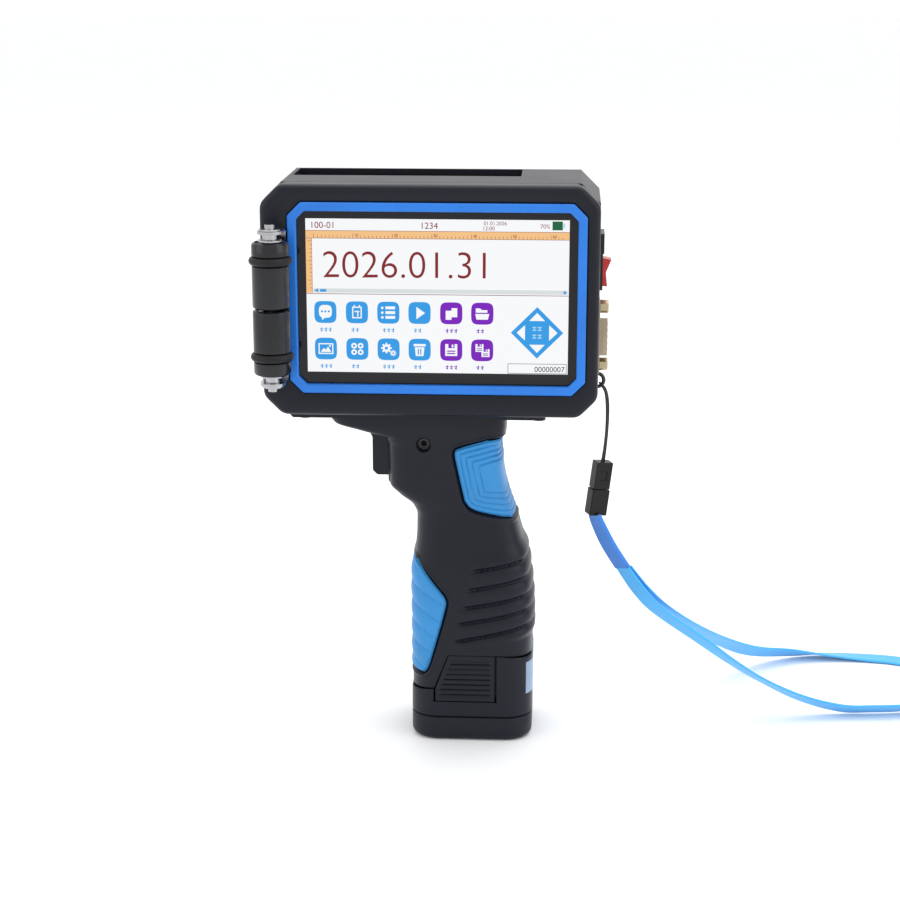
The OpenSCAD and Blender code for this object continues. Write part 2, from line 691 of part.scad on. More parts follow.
// A flat ring on the axle, above and below the rollers alike
module axle_ring(offset, h, r) {
  for (z = [roller_mid + offset, roller_mid - offset - h]) difference() {
    rod_z(z, z + h, roller_x, roller_y, r);
    rod_z(z - eps, z + h + eps, roller_x, roller_y, axle_r);
  }
}

module axle_clips() { color(steel_col) axle_ring(stack_h + bracket_t, clip_t, clip_r); }

module axle_spacers() { color(steel_col) axle_ring(stack_h - spacer_l, spacer_l, spacer_r); }

module axle_washers() { color(steel_col) axle_ring(stack_h - spacer_l - washer_t, washer_t, washer_r); }

// side is 1 for the upper roller and -1 for the lower one
module roller(side) {
  translate([roller_x, roller_y, roller_mid]) rotate_extrude()
    difference() {
      polygon([[axle_r + slip, side * roller_gap / 2], [roller_r, side * roller_gap / 2],
        [roller_r, side * (roller_gap / 2 + roller_len)],
        [axle_r + slip, side * (roller_gap / 2 + roller_len)]]);
      translate([ring_r, side * (roller_gap / 2 + roller_len - ring_inset)]) circle(r = ring_wire_r);
      for (g = [-2.6, 2.6])
        translate([roller_r, side * (roller_gap / 2 + roller_len - ring_inset + g)])
          square([0.8, 0.5], center = true);
    }
}

module ring(side) {
  translate([roller_x, roller_y, roller_mid + side * (roller_gap / 2 + roller_len - ring_inset)])
    rotate_extrude() translate([ring_r, 0]) circle(r = ring_wire_r);
}

module upper_roller() { color(char_col) roller(1); }

module upper_ring() { color([0.05, 0.05, 0.06]) ring(1); }

module lower_roller() { color(char_col) roller(-1); }

module lower_ring() { color([0.05, 0.05, 0.06]) ring(-1); }

// ---- plate between head and handle ----

module neck_plate() {
  bevel = 2;
  color(char_col) difference() {
    slab_y(plate_y0, plate_y1) polygon([[plate_x0 + bevel, plate_z], [plate_x1 - bevel, plate_z],
      [plate_x1, plate_z + bevel], [plate_x1, head_z0], [plate_x0, head_z0],
      [plate_x0, plate_z + bevel]]);
    for (s = plate_screw_spots) rod_z(plate_z - eps, head_z0 + eps, s.x, s.y, screw_r);
    for (s = neck_bolt_spots) {
      rod_z(plate_z - eps, head_z0 + eps, s.x, s.y, 2);
      rod_z(head_z0 - 2, head_z0 + eps, s.x, s.y, 3.4);
    }
    rod_z(plate_z - eps, head_z0 + eps, cable_x, cable_y, cable_r);
  }
}

module plate_screws() {
  color(steel_col) for (s = plate_screw_spots) {
    rod_z(plate_z - 1.2, plate_z, s.x, s.y, 3);
    rod_z(plate_z - eps, head_z0 + shell_wall - 0.4, s.x, s.y, screw_r);
  }
}

module neck_bolts() {
  color(steel_col) for (s = neck_bolt_spots) {
    rod_z(head_z0 - 2, head_z0 - 0.2, s.x, s.y, 3.2);
    rod_z(neck_z - 3.6, head_z0 - 2 + eps, s.x, s.y, 2);
  }
}

// ---- handle ----

module trigger_way() {
  box(-60, trigger_x1 + trigger_travel + 0.5, -trigger_w / 2 - fit, trigger_w / 2 + fit,
    trigger_z0 - fit, trigger_z1 + fit);
}

// Rooms inside the handle: for the battery, its terminals, the switch and the wires
module handle_rooms() {
  gap = 0.5;
  translate([0, 0, -1]) linear_extrude(tower_z1 + 1.6) round_rect(tower_x0 - gap, tower_x1 + gap,
    -tower_y - gap, tower_y + gap, 7.3 + gap);
  box(-19, 14, -16, 16, tower_z1, shelf_z + block_t + 8);
  box(-19, 8.5, -15, 15, shelf_z + block_t + 7, 108);
  box(-22, 6.5, -15, 15, 107, cavity_top);
  box(trigger_x1 - 3.7, -21, -10, 10, trigger_z0 - 1.2, cavity_top);
}

module handle_half(side) {
  difference() {
    grip_form(side);
    difference() {
      handle_rooms();
      box(-8, 4, side > 0 ? 11 : -20, side > 0 ? 20 : -11, shelf_z + 0.5, shelf_z + block_t - 0.5);
      rod_y(side > 0 ? 8 : -20, side > 0 ? 20 : -8, switch_pin.x, switch_pin.y, 3);
      rod_y(side > 0 ? 0.2 : -20, side > 0 ? 20 : -0.2, switch_pin.x, switch_pin.y, 1.1);
      for (s = handle_screw_spots) rod_y(-20, 20, s.x, s.y, 3.6);
    }
    slab_y(-60, 60) polygon(concat([[-60, -10], [-60, 20.5]], SEAM, [[60, 36.6], [60, -10]]));
    trigger_way();
    for (s = handle_screw_spots) {
      near = s[2] == side;
      reach = near ? 40 : screw_wall - 2;
      rod_y(side > 0 ? -1 : -reach, side > 0 ? reach : 1, s.x, s.y, 1.3);
      if (near) rod_y(side > 0 ? screw_wall : -40, side > 0 ? 40 : -screw_wall, s.x, s.y, 3.2);
    }
    for (s = neck_bolt_spots) rod_z(neck_z - 4, neck_z + eps, s.x, s.y, 2);
    rod_z(cavity_top - 1, neck_z + eps, cable_x, cable_y, cable_r);
  }
}

module handle_front() { color(char_col) handle_half(-1); }

module handle_rear() { color(char_col) handle_half(1); }

module palm_pad_front() { color(blue_col) pad_form(PALM_PAD, 1, -1); }

module palm_pad_rear() { color(blue_col) pad_form(PALM_PAD, 1, 1); }

module finger_pad_front() { color(blue_col) pad_form(FINGER_PAD, -1, -1); }

module finger_pad_rear() { color(blue_col) pad_form(FINGER_PAD, -1, 1); }

module handle_screws() {
  color([0.1, 0.1, 0.11]) for (s = handle_screw_spots) {
    far = s[2] * screw_wall;
    rod_y(min(far, -far * 0.7), max(far, -far * 0.7), s.x, s.y, 1.25);
    rod_y(min(far, far + s[2] * 1.6), max(far, far + s[2] * 1.6), s.x, s.y, 2.8);
  }
}

// ---- trigger ----

module trigger() {
  y = trigger_w / 2;
  color(char_col) difference() {
    union() {
      slab_y(-y, y) polygon([[trigger_x0 - 1.5, trigger_z1], [trigger_x0, trigger_z1 - 3],
        [trigger_x0, trigger_z0 + 2], [trigger_x0 + 2, trigger_z0], [trigger_x1, trigger_z0],
        [trigger_x1, trigger_z1]]);
      box(trigger_x1 - 3.4, trigger_x1, -y - 1.6, y + 1.6, trigger_z0, trigger_z1);
    }
    box(trigger_x1 - 6, trigger_x1 + eps, -y + 2, y - 2, trigger_z0 + 4, trigger_z1 - 4);
  }
}

module trigger_spring() {
  x0 = trigger_x1 - 6;
  length = switch_x - x0 - 2 * spring_wire;
  color(steel_col) tube([for (i = [0 : spring_turns * 12]) let (t = i * 30)
    [x0 + spring_wire + length * i / (spring_turns * 12), spring_r * cos(t), trigger_z + spring_r * sin(t)]],
    spring_wire, 1, 6);
}

module trigger_switch() {
  color([0.15, 0.15, 0.16]) difference() {
    box(switch_x, switch_x + 11, -8, 8, trigger_z - 8, trigger_z + 8);
    rod_y(-8 - eps, 8 + eps, switch_pin.x, switch_pin.y, 1.2);
  }
}

// ---- battery ----

module terminal_block() {
  color([0.2, 0.2, 0.22]) difference() {
    box(-14, 10, -11, 11, shelf_z, shelf_z + block_t);
    for (x = [-7, 3]) box(x - 0.8, x + 0.8, -5, 5, shelf_z - eps, shelf_z + 3);
  }
}

module battery_leads() {
  top = board_y + board_t;
  for (s = [-1, 1]) color(s < 0 ? [0.7, 0.1, 0.1] : [0.1, 0.1, 0.1])
    tube([[-2 + s * 3, 0, shelf_z + block_t], [-2 + s * 3, 0, 98], [s * 2.4, -4, 115],
      [s * 2, -9, 132], [s * 2, -10, 150], [s * 2, -11, 158], [s * 2, -12.6, 165],
      [s * 2, top + 0.9, 172]], 1, 3, 8);
}

module cell_room() {
  round_rect(tower_x0 + tower_wall, tower_x1 - tower_wall, -tower_y + tower_wall,
    tower_y - tower_wall, 6);
}

module under_seam(gap) {
  slab_y(-60, 60) polygon(concat([[-60, -10], [-60, 20.5 - gap]],
    [for (i = [0 : len(SEAM) - 1]) SEAM[i] + [i == 1 || i == 2 ? gap : 0, -gap]],
    [[60, 36.6 - gap], [60, -10]]));
}

module latch_pocket(side) {
  slab_y(side > 0 ? tower_y : -40, side > 0 ? 40 : -tower_y) polygon(LATCH_POCKET);
}

module battery_housing() {
  color(char_col) difference() {
    union() {
      difference() {
        intersection() {
          translate([0, 0, cap_h]) linear_extrude(60) base_outline(0);
          under_seam(fit);
        }
        latch_pocket(-1);
        latch_pocket(1);
      }
      translate([0, 0, cap_h]) linear_extrude(tower_z1 - cap_h)
        round_rect(tower_x0, tower_x1, -tower_y, tower_y, 7.3);
      box(-11, 7, -8, 8, tower_z1 - eps, tower_z1 + stem_h);
    }
    translate([0, 0, cap_h - 1]) linear_extrude(tower_z1 - tower_wall - cap_h + 1) cell_room();
  }
}

module battery_cap() {
  color(char_col) difference() {
    foot(cap_h);
    translate([0, 0, cell_z0]) linear_extrude(cap_h) cell_room();
  }
}

module battery_cells() {
  middle = (tower_x0 + tower_x1) / 2;
  step = cell_r + 0.1;
  color([0.1, 0.45, 0.35]) for (c = [[-step, -8.4], [step, -8.4], [0, 8.4 - 0.7]])
    rod_z(cell_z0, cell_z0 + cell_l, middle + c.x, c.y, cell_r);
}

module battery_label() {
  color([0.75, 0.85, 0.95]) translate([0, 0, 21]) linear_extrude(14.5) intersection() {
    difference() {
      base_outline(-0.2);
      base_outline(0);
    }
    translate([22, -19]) square([10, 38]);
  }
}

module latch(side) {
  color(char_col) intersection() {
    slab_y(side > 0 ? 0 : -60, side > 0 ? 60 : 0) polygon(LATCH);
    linear_extrude(60) difference() {
      base_outline(0);
      translate([-50, -base_y + latch_t]) square([100, 2 * (base_y - latch_t)]);
    }
  }
}

module latch_front() { latch(-1); }

module latch_rear() { latch(1); }

// ---- lanyard ----

module lanyard_string() { color([0.1, 0.1, 0.1]) tube(STRING, string_r, 4, 8); }

module on_buckle() {
  translate(buckle_top) rotate([0, buckle_tilt, 0]) rotate([0, 0, 25]) children();
}

module buckle_socket() {
  color([0.1, 0.1, 0.11]) on_buckle() difference() {
    box(-3.8, 3.8, -2.6, 2.6, -12, 0);
    box(-2.6, 2.6, -1.5, 1.5, -12 - eps, -5);
    box(-1.6, 1.6, -2.7, -2, -8, -4);
  }
}

module buckle_plug() {
  color([0.1, 0.1, 0.11]) on_buckle() {
    box(-2.5, 2.5, -1.4, 1.4, -12.4, -6);
    difference() {
      box(-4.1, 4.1, -2.9, 2.9, -24, -12.3);
      box(-3, 3, -1.9, 1.9, -24 - eps, -21);
    }
  }
}

module strap_fold() { color([0.2, 0.5, 0.85]) ribbon(FOLD, strap_w, 2 * strap_t, 4); }

module strap_loop() { color([0.35, 0.72, 0.95]) ribbon(STRAP, strap_w, strap_t, 3); }

front_bezel();
trim_frame();
touch_glass();
lcd_module();
board_standoffs();
main_board();
board_parts();
rear_shell();
case_screws();
guide_plate();
guide_screws();
cartridge_carrier();
contact_board();
cartridge_body();
cartridge_lid();
nozzle_plate();
usb_port();
switch_housing();
rocker();
serial_port();
jackscrews();
lanyard_eyelet();
roller_bracket();
bracket_screws();
roller_axle();
axle_clips();
axle_washers();
axle_spacers();
upper_roller();
upper_ring();
lower_roller();
lower_ring();
neck_plate();
plate_screws();
neck_bolts();
handle_front();
handle_rear();
palm_pad_front();
palm_pad_rear();
finger_pad_front();
finger_pad_rear();
handle_screws();
trigger();
trigger_spring();
trigger_switch();
terminal_block();
battery_leads();
battery_housing();
battery_cap();
battery_cells();
battery_label();
latch_front();
latch_rear();
lanyard_string();
buckle_socket();
buckle_plug();
strap_fold();
strap_loop();
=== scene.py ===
"""Date code inkjet printer: the looks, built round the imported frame. Metres throughout, with
the screen facing -Y and the table at z = 0."""
import json
import math

import bmesh
import bpy
import numpy as np
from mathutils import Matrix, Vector


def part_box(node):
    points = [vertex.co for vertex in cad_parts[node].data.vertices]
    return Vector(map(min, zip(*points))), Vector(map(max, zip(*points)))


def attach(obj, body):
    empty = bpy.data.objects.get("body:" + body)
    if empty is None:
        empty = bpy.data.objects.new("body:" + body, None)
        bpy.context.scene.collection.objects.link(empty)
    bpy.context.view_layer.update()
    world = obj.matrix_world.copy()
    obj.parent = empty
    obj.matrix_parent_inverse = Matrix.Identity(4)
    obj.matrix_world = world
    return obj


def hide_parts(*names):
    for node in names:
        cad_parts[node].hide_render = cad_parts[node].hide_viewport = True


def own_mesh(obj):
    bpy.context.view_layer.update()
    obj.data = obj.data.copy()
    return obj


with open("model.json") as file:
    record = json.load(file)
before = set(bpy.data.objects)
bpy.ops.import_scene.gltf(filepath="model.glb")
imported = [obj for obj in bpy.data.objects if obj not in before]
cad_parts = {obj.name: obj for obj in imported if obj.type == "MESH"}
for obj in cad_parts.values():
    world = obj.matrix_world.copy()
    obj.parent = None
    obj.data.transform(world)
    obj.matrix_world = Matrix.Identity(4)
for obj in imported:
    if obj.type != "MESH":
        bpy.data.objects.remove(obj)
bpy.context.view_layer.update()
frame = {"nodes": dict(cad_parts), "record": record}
nodes = frame["nodes"]

# ---- camera --------------------------------------------------------------------------------
# A short telephoto a little above the screen, turned slightly towards the print side.

pan, tilt = math.radians(3.31), math.radians(14.52)
lens = bpy.data.cameras.new("camera")
lens.lens, lens.sensor_width = 80, 36
camera = bpy.data.objects.new("camera", lens)
camera.location = (0.0380, -0.8415, 0.3441)
aim = Vector((-math.sin(pan) * math.cos(tilt), math.cos(pan) * math.cos(tilt), -math.sin(tilt)))
camera.rotation_euler = aim.to_track_quat("-Z", "Y").to_euler()
bpy.context.scene.collection.objects.link(camera)
bpy.context.scene.camera = camera
bpy.context.scene.view_settings.view_transform = "Standard"

# ---- finishes ------------------------------------------------------------------------------
# Every finish is worked out from the place on the object. A wire is a socket in the node tree,
# so that masks and noises can be written as sums.


class Wire:
    """A socket in a material's node tree. Arithmetic on wires adds the Math nodes."""

    def __init__(self, tree, socket=None):
        self.tree, self.socket = tree, socket

    def node(self, kind, settings=None, out=0, **values):
        """Adds a node: its settings first, then its sockets, by name or as i0, i1 and so on."""
        made = self.tree.nodes.new("ShaderNode" + kind)
        for name, value in (settings or {}).items():
            if name == "stops":
                for stop, (place, colour) in zip(made.color_ramp.elements, value):
                    stop.position, stop.color = place, colour
            else:
                setattr(made, name, value)
        for name, value in values.items():
            key = int(name[1:]) if name[1:].isdigit() else name.replace("_", " ")
            if isinstance(value, Wire):
                self.tree.links.new(value.socket, made.inputs[key])
            else:
                made.inputs[key].default_value = value
        return Wire(self.tree, made.outputs[out])

    def math(self, operation, a, b=0.0):
        return self.node("Math", {"operation": operation}, i0=a, i1=b)

    def __add__(self, other):
        return self.math("ADD", self, other)

    __radd__ = __add__

    def __sub__(self, other):
        return self.math("SUBTRACT", self, other)

    def __rsub__(self, other):
        return self.math("SUBTRACT", other, self)

    def __mul__(self, other):
        return self.math("MULTIPLY", self, other)

    __rmul__ = __mul__

    def __pow__(self, other):
        return self.math("POWER", self, other)

    def step(self, low, high):
        """0 below low and 1 above high, smooth between."""
        return self.node("MapRange", {"interpolation_type": "SMOOTHSTEP"}, Value=self,
                         From_Min=low, From_Max=high)

    def between(self, dark, light):
        """A colour between two, with this wire as the share of the second."""
        return self.node("Mix", {"data_type": "RGBA"}, out=2, i0=self, i6=(*dark, 1),
                         i7=(*light, 1))

    def wave(self):
        """A sine wave of this wire, between 0 and 1."""
        return self.math("SINE", self) * 0.5 + 0.5

    def noise(self, scale, detail=3.0):
        return self.node("TexNoise", out=0, Vector=self, Scale=scale, Detail=detail)

    def part(self, letter):
        """One coordinate of a position."""
        return self.node("SeparateXYZ", out="XYZ".index(letter), Vector=self)

    def bump(self, strength, distance):
        return self.node("Bump", Strength=strength, Distance=distance, Height=self)

    def into(self, shader, socket):
        self.tree.links.new(self.socket, shader.inputs[socket])


def finish(name, **fixed):
    """A new material with its fixed values set, its surface shader, and its coordinates."""
    made = bpy.data.materials.new(name)
    made.use_nodes = True
    shader = made.node_tree.nodes["Principled BSDF"]
    for socket, value in fixed.items():
        shader.inputs[socket.replace("_", " ")].default_value = value
    return made, shader, Wire(made.node_tree).node("TexCoord", out="Object")


def shade(colour, share):
    return tuple(c * share for c in colour)


def moulded(name, colour, rough=0.4, grain=2600, depth=0.00004, spread=0.12, **fixed):
    """Moulded plastic: a fine spark-eroded grain and a faintly uneven sheen."""
    made, shader, place = finish(name, **fixed)
    cloud, speck = place.noise(38), place.noise(grain, 2)
    (rough + (cloud - 0.5) * spread + (speck - 0.5) * 0.06).into(shader, "Roughness")
    cloud.between(shade(colour, 0.82), shade(colour, 1.16)).into(shader, "Base Color")
    speck.bump(0.35, depth).into(shader, "Normal")
    return made


def plated(name, colour, rough=0.24, metal=1.0):
    """Plated metal with fine drawn lines along its length and a slight tarnish."""
    made, shader, place = finish(name, Metallic=metal)
    cloud = place.noise(130)
    drawn = place.node("Mapping", Vector=place, Scale=(2600, 2600, 240)).noise(1, 2)
    (rough + (cloud - 0.5) * 0.2 + (drawn - 0.5) * 0.12).into(shader, "Roughness")
    cloud.between(shade(colour, 0.7), colour).into(shader, "Base Color")
    drawn.bump(0.15, 0.00002).into(shader, "Normal")
    return made


# ---- floor and light -----------------------------------------------------------------------
# A plain pale table under a large soft ceiling, with one softbox on each side.

floor_paint, shader, place = finish("floor_paint", Roughness=0.55, Specular_IOR_Level=0.25)
place.noise(6).between((0.955, 0.96, 0.97), (0.975, 0.98, 0.985)).into(shader, "Base Color")
floor_mesh = bpy.data.meshes.new("floor")
floor_mesh.from_pydata([(-6, -4, 0), (6, -4, 0), (6, 8, 0), (-6, 8, 0)], [], [(0, 1, 2, 3)])
floor_mesh.materials.append(floor_paint)
floor = bpy.data.objects.new("floor", floor_mesh)
bpy.context.scene.collection.objects.link(floor)

world = bpy.data.worlds.new("studio")
world.use_nodes = True
world.node_tree.nodes["Background"].inputs["Color"].default_value = (1, 1, 1, 1)
world.node_tree.nodes["Background"].inputs["Strength"].default_value = 1.03
bpy.context.scene.world = world
for name, spot, target, size, power in [
        ("ceiling", (0.1, 0.35, 1.3), (0, 0, 0.1), 1.4, 9),
        ("left_softbox", (-1.0, -0.5, 0.55), (0, 0, 0.14), 0.7, 1.6),
        ("right_softbox", (1.0, -0.35, 0.6), (0, 0, 0.14), 0.8, 2.6)]:
    lamp = bpy.data.lights.new(name, "AREA")
    lamp.size, lamp.energy = size, power
    holder = bpy.data.objects.new(name, lamp)
    holder.location = spot
    holder.rotation_euler = (Vector(target) - Vector(spot)).to_track_quat("-Z", "Y").to_euler()
    bpy.context.scene.collection.objects.link(holder)

# ---- making pieces -------------------------------------------------------------------------
# Each piece is a mesh in the frame's own place, shaded smooth up to its real edges.


def add_piece(name, verts, faces, paint, body, stands_for=(), slot=None, sharp=35):
    mesh = bpy.data.meshes.new(name)
    mesh.from_pydata([tuple(v) for v in verts], [], faces)
    return dress(name, mesh, paint, body, stands_for, slot, sharp)


def dress(name, mesh, paint, body, stands_for=(), slot=None, sharp=35):
    mesh.validate()
    mesh.materials.clear()
    mesh.materials.append(paint)
    mesh.shade_smooth()
    mesh.set_sharp_from_angle(angle=math.radians(sharp))
    made = bpy.data.objects.new(name, mesh)
    bpy.context.scene.collection.objects.link(made)
    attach(made, body)
    if stands_for:
        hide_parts(*stands_for)
    return made


def body_of_node(node):
    bodies = frame["record"]["behaviour"]["bodies"]
    return next(b for b, members in bodies.items() if node in members)


def slot_of_node(node):
    return next(s["material_slot"] for s in frame["record"]["subparts"] if s["node"] == node)


def eased(node, paint, width, segments=2, sharp=40):
    """A node's own form with its moulded or machined edges rounded over by width."""
    form = bmesh.new()
    form.from_mesh(nodes[node].data)
    bmesh.ops.remove_doubles(form, verts=form.verts, dist=1e-6)
    bmesh.ops.dissolve_limit(form, angle_limit=math.radians(1.5), verts=form.verts,
                             edges=form.edges)
    mesh = bpy.data.meshes.new(node + "_eased")
    form.to_mesh(mesh)
    form.free()
    made = dress(node + "_eased", mesh, paint, body_of_node(node), (node,), slot_of_node(node),
                 sharp)
    ease = made.modifiers.new("ease", "BEVEL")
    ease.width, ease.segments, ease.limit_method = width, segments, "ANGLE"
    ease.angle_limit = math.radians(28)
    ease.harden_normals = True
    return made


def repaint(node, paint):
    """The node's own shape with a better material."""
    mesh = nodes[node].data
    if not mesh.materials:
        mesh.materials.append(paint)
    for i in range(len(mesh.materials)):
        mesh.materials[i] = paint


def strip(path, turn, half_width, half_thick, rounds=4):
    """A flat band along path, with rounded edges. turn gives the way its width points."""
    path = np.array(path, float)
    heading = np.gradient(path, axis=0)
    heading /= np.linalg.norm(heading, axis=1)[:, None]
    face = np.cross(turn, heading)
    face /= np.linalg.norm(face, axis=1)[:, None]
    across = np.cross(heading, face)
    section = [(half_width * math.sin(side * k / rounds * math.pi / 2), side * half_thick)
               for side in (1, -1) for k in range(-rounds, rounds + 1)]
    verts, count = [], len(section)
    for p, n, w in zip(path, face, across):
        for u, v in section:
            thin = 0.55 if abs(u) > half_width * 0.99 else 1
            verts.append(p + w * u + n * v * thin)
    faces = []
    for i in range(len(path) - 1):
        for j in range(count):
            a, b = i * count + j, i * count + (j + 1) % count
            faces.append((a, b, b + count, a + count))
    faces.append(tuple(reversed(range(count))))
    faces.append(tuple((len(path) - 1) * count + j for j in range(count)))
    return verts, faces


def curve_through(points, steps):
    """Points of the smooth curve through a list of points, as the frame's own solids have it."""
    P = np.array(points, float)
    n = len(P) - 1
    out = []
    for k in range(n):
        a, b, c, d = P[max(k - 1, 0)], P[k], P[k + 1], P[min(k + 2, n)]
        for s in range(steps):
            t = s / steps
            out.append(0.5 * (2 * b + (c - a) * t + (2 * a - 5 * b + 4 * c - d) * t * t
                              + (3 * b - a - 3 * c + d) * t ** 3))
    out.append(P[n])
    return np.array(out)


# ---- lanyard -------------------------------------------------------------------------------
# A thin braided string goes through the eyelet and back to a two-part buckle. Below it the
# strap's ends are folded together and sewn, and the flat loop falls to the table.

STRING = [(55.2, -4, 122.4), (56.3, -4.2, 130), (56.9, -4.5, 139), (56.8, -4.8, 148),
          (56, -4.9, 154), (53.7, -3, 157.3), (56.4, -1.1, 154), (57.6, -1.4, 148),
          (57.6, -1.8, 139), (57, -2.1, 130), (56.2, -2.3, 122.4)]
FOLD = [((52.6, -3, 98.6), (0.45, -0.9, 0)), ((54.4, -3, 94), (0.5, -0.85, 0.15)),
        ((59, -2.5, 84.5), (0.55, -0.8, 0.2)), ((65.3, -1.9, 74.4), (0.55, -0.8, 0.25))]
STRAP = [((65.4, -2.9, 74.4), (0.55, -0.8, 0.25)), ((73.4, -1.5, 62.8), (0.6, -0.75, 0.3)),
         ((82.5, 0.5, 53), (0.6, -0.75, 0.3)), ((100.9, 5, 38.8), (0.45, -0.8, 0.4)),
         ((114.7, 8, 28), (0.3, -0.85, 0.4)), ((128.6, 10, 18.8), (0.2, -0.9, 0.4)),
         ((147, 12, 9.6), (0.2, -0.85, 0.5)), ((165.7, 14, 4.2), (0.1, -0.8, 0.6)),
         ((180, 15, 3.8), (0, -0.8, 0.6)), ((194, 17, 3.8), (0.1, -0.8, 0.6)),
         ((210, 23, 3.6), (0.5, -0.7, 0.5)), ((222, 34, 3.1), (0.8, -0.45, 0.4)),
         ((227, 49, 2.6), (0.95, 0.1, 0.3)), ((224, 65, 1.8), (0.9, 0.4, 0.15)),
         ((215, 78, 1.1), (0.6, 0.8, 0)), ((202, 86, 0.9), (0.2, 1, 0)),
         ((186, 89, 1.1), (0, 1, -0.05)), ((168, 89, 2.2), (0, 0.95, -0.25)),
         ((150, 85, 4.2), (-0.1, 0.8, -0.6)), ((131, 73, 9.2), (-0.3, 0.7, -0.65)),
         ((114.5, 53, 21), (-0.5, 0.7, -0.5)), ((98.5, 30, 36), (-0.6, 0.7, -0.4)),
         ((84, 12, 51.4), (-0.6, 0.75, -0.3)), ((74.4, 3, 63), (-0.6, 0.75, -0.3)),
         ((66.2, -0.9, 74.8), (-0.55, 0.8, -0.25))]
string_r, strap_w, strap_t = 0.00045, 0.010, 0.0010


def woven(name, colour, threads=2600, sheen=0.35):
    """Ribbed webbing: warp lines crossed by a finer weft, with soft uneven dye."""
    made, shader, place = finish(name, Sheen_Weight=sheen, Sheen_Roughness=0.4)
    lines = place.part("X") + place.part("Z") * 0.9 + place.part("Y") * 0.35
    rib = (lines * (threads * 2.2)).wave()
    weft = place.noise(threads * 0.7, 2)
    cloud = place.noise(45)
    (cloud * 0.5 + weft * 0.3 + rib * 0.2).between(shade(colour, 0.78), shade(colour, 1.18)).into(
        shader, "Base Color")
    (0.62 + weft * 0.2).into(shader, "Roughness")
    (rib * 0.7 + weft * 0.5).bump(0.5, 0.00012).into(shader, "Normal")
    return made


string_paint = woven("black_braid", (0.012, 0.012, 0.013), 5200, 0.2)
line = bpy.data.curves.new("lanyard_string_braid", "CURVE")
line.dimensions, line.bevel_depth, line.bevel_resolution = "3D", string_r, 3
spline = line.splines.new("POLY")
string_path = curve_through(STRING, 4) / 1000
spline.points.add(len(string_path) - 1)
for point, p in zip(spline.points, string_path):
    point.co = (*p, 1)
line.materials.append(string_paint)
lanyard_string = bpy.data.objects.new("lanyard_string_braid", line)
bpy.context.scene.collection.objects.link(lanyard_string)
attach(lanyard_string, "head")
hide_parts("lanyard_string")

deep_weave = woven("deep_blue_weave", (0.03, 0.20, 0.66))
fold_path = curve_through([p for p, _ in FOLD], 6) / 1000
strap_fold = add_piece("strap_fold_sewn", *strip(fold_path, curve_through([t for _, t in FOLD], 6),
                       strap_w / 2, strap_t), deep_weave, "head", ("strap_fold",), "strap_deep")

sky_weave = woven("sky_blue_weave", (0.055, 0.42, 0.86))
strap_path = curve_through([p for p, _ in STRAP], 6) / 1000
strap_loop = add_piece("strap_loop_band", *strip(strap_path, curve_through(
    [t for _, t in STRAP], 6), strap_w / 2, strap_t / 2), sky_weave, "head", ("strap_loop",),
    "strap_sky")

buckle_black = moulded("buckle_black", (0.004, 0.004, 0.005), 0.3, spread=0.08,
                       Specular_IOR_Level=0.25)
buckle_socket = eased("buckle_socket", buckle_black, 0.0006, 3)
buckle_plug = eased("buckle_plug", buckle_black, 0.0006, 3)

# ---- head: bezel and rear shell ------------------------------------------------------------
# Two moulded shells in charcoal ABS meet at a seam. The face is an octagon with softened
# corners, rolled over at its front edge, with a step that holds the blue trim.

charcoal = moulded("charcoal_moulding", (0.0052, 0.0068, 0.0125), 0.38,
                    Specular_IOR_Level=0.24)
bezel_lo, bezel_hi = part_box("front_bezel")
trim_lo, trim_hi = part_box("trim_frame")
face_y, seam_y = bezel_lo.y, bezel_hi.y
corner_cut, trim_cut = 0.008, 0.0055


def octagon(lo, hi, inset, cut, soft, arc=5):
    """An upright rectangle with cut corners, drawn in by inset, its corners rounded by soft."""
    x0, x1, z0, z1 = lo.x + inset, hi.x - inset, lo.z + inset, hi.z - inset
    c = cut - inset * 0.586
    corners = [(x0 + c, z0), (x1 - c, z0), (x1, z0 + c), (x1, z1 - c), (x1 - c, z1),
               (x0 + c, z1), (x0, z1 - c), (x0, z0 + c)]
    points = []
    reach = soft * math.tan(math.radians(22.5))
    for i, here in enumerate(corners):
        here = Vector(here)
        before = (Vector(corners[i - 1]) - here).normalized()
        after = (Vector(corners[(i + 1) % 8]) - here).normalized()
        start, end = here + before * reach, here + after * reach
        for k in range(arc):
            t = k / (arc - 1)
            points.append(start.lerp(here, t).lerp(here.lerp(end, t), t))
    return points


def bridged(rows, closed=False):
    """Faces between rows of points, each row a closed loop. closed joins the last to the first."""
    verts = [v for row in rows for v in row]
    m, faces = len(rows[0]), []
    for i in range(len(rows) - (0 if closed else 1)):
        for j in range(m):
            a, b = i * m + j, i * m + (j + 1) % m
            c, d = (b + m) % len(verts), (a + m) % len(verts)
            faces.append((a, d, c, b))
    return verts, faces


def upright(points, y):
    return [(p.x, y, p.y) for p in points]


def octagons(lo, hi, cut, soft, steps):
    """Upright octagons drawn in by an inset at each depth."""
    return [upright(octagon(lo, hi, inset, cut, soft), y) for inset, y in steps]


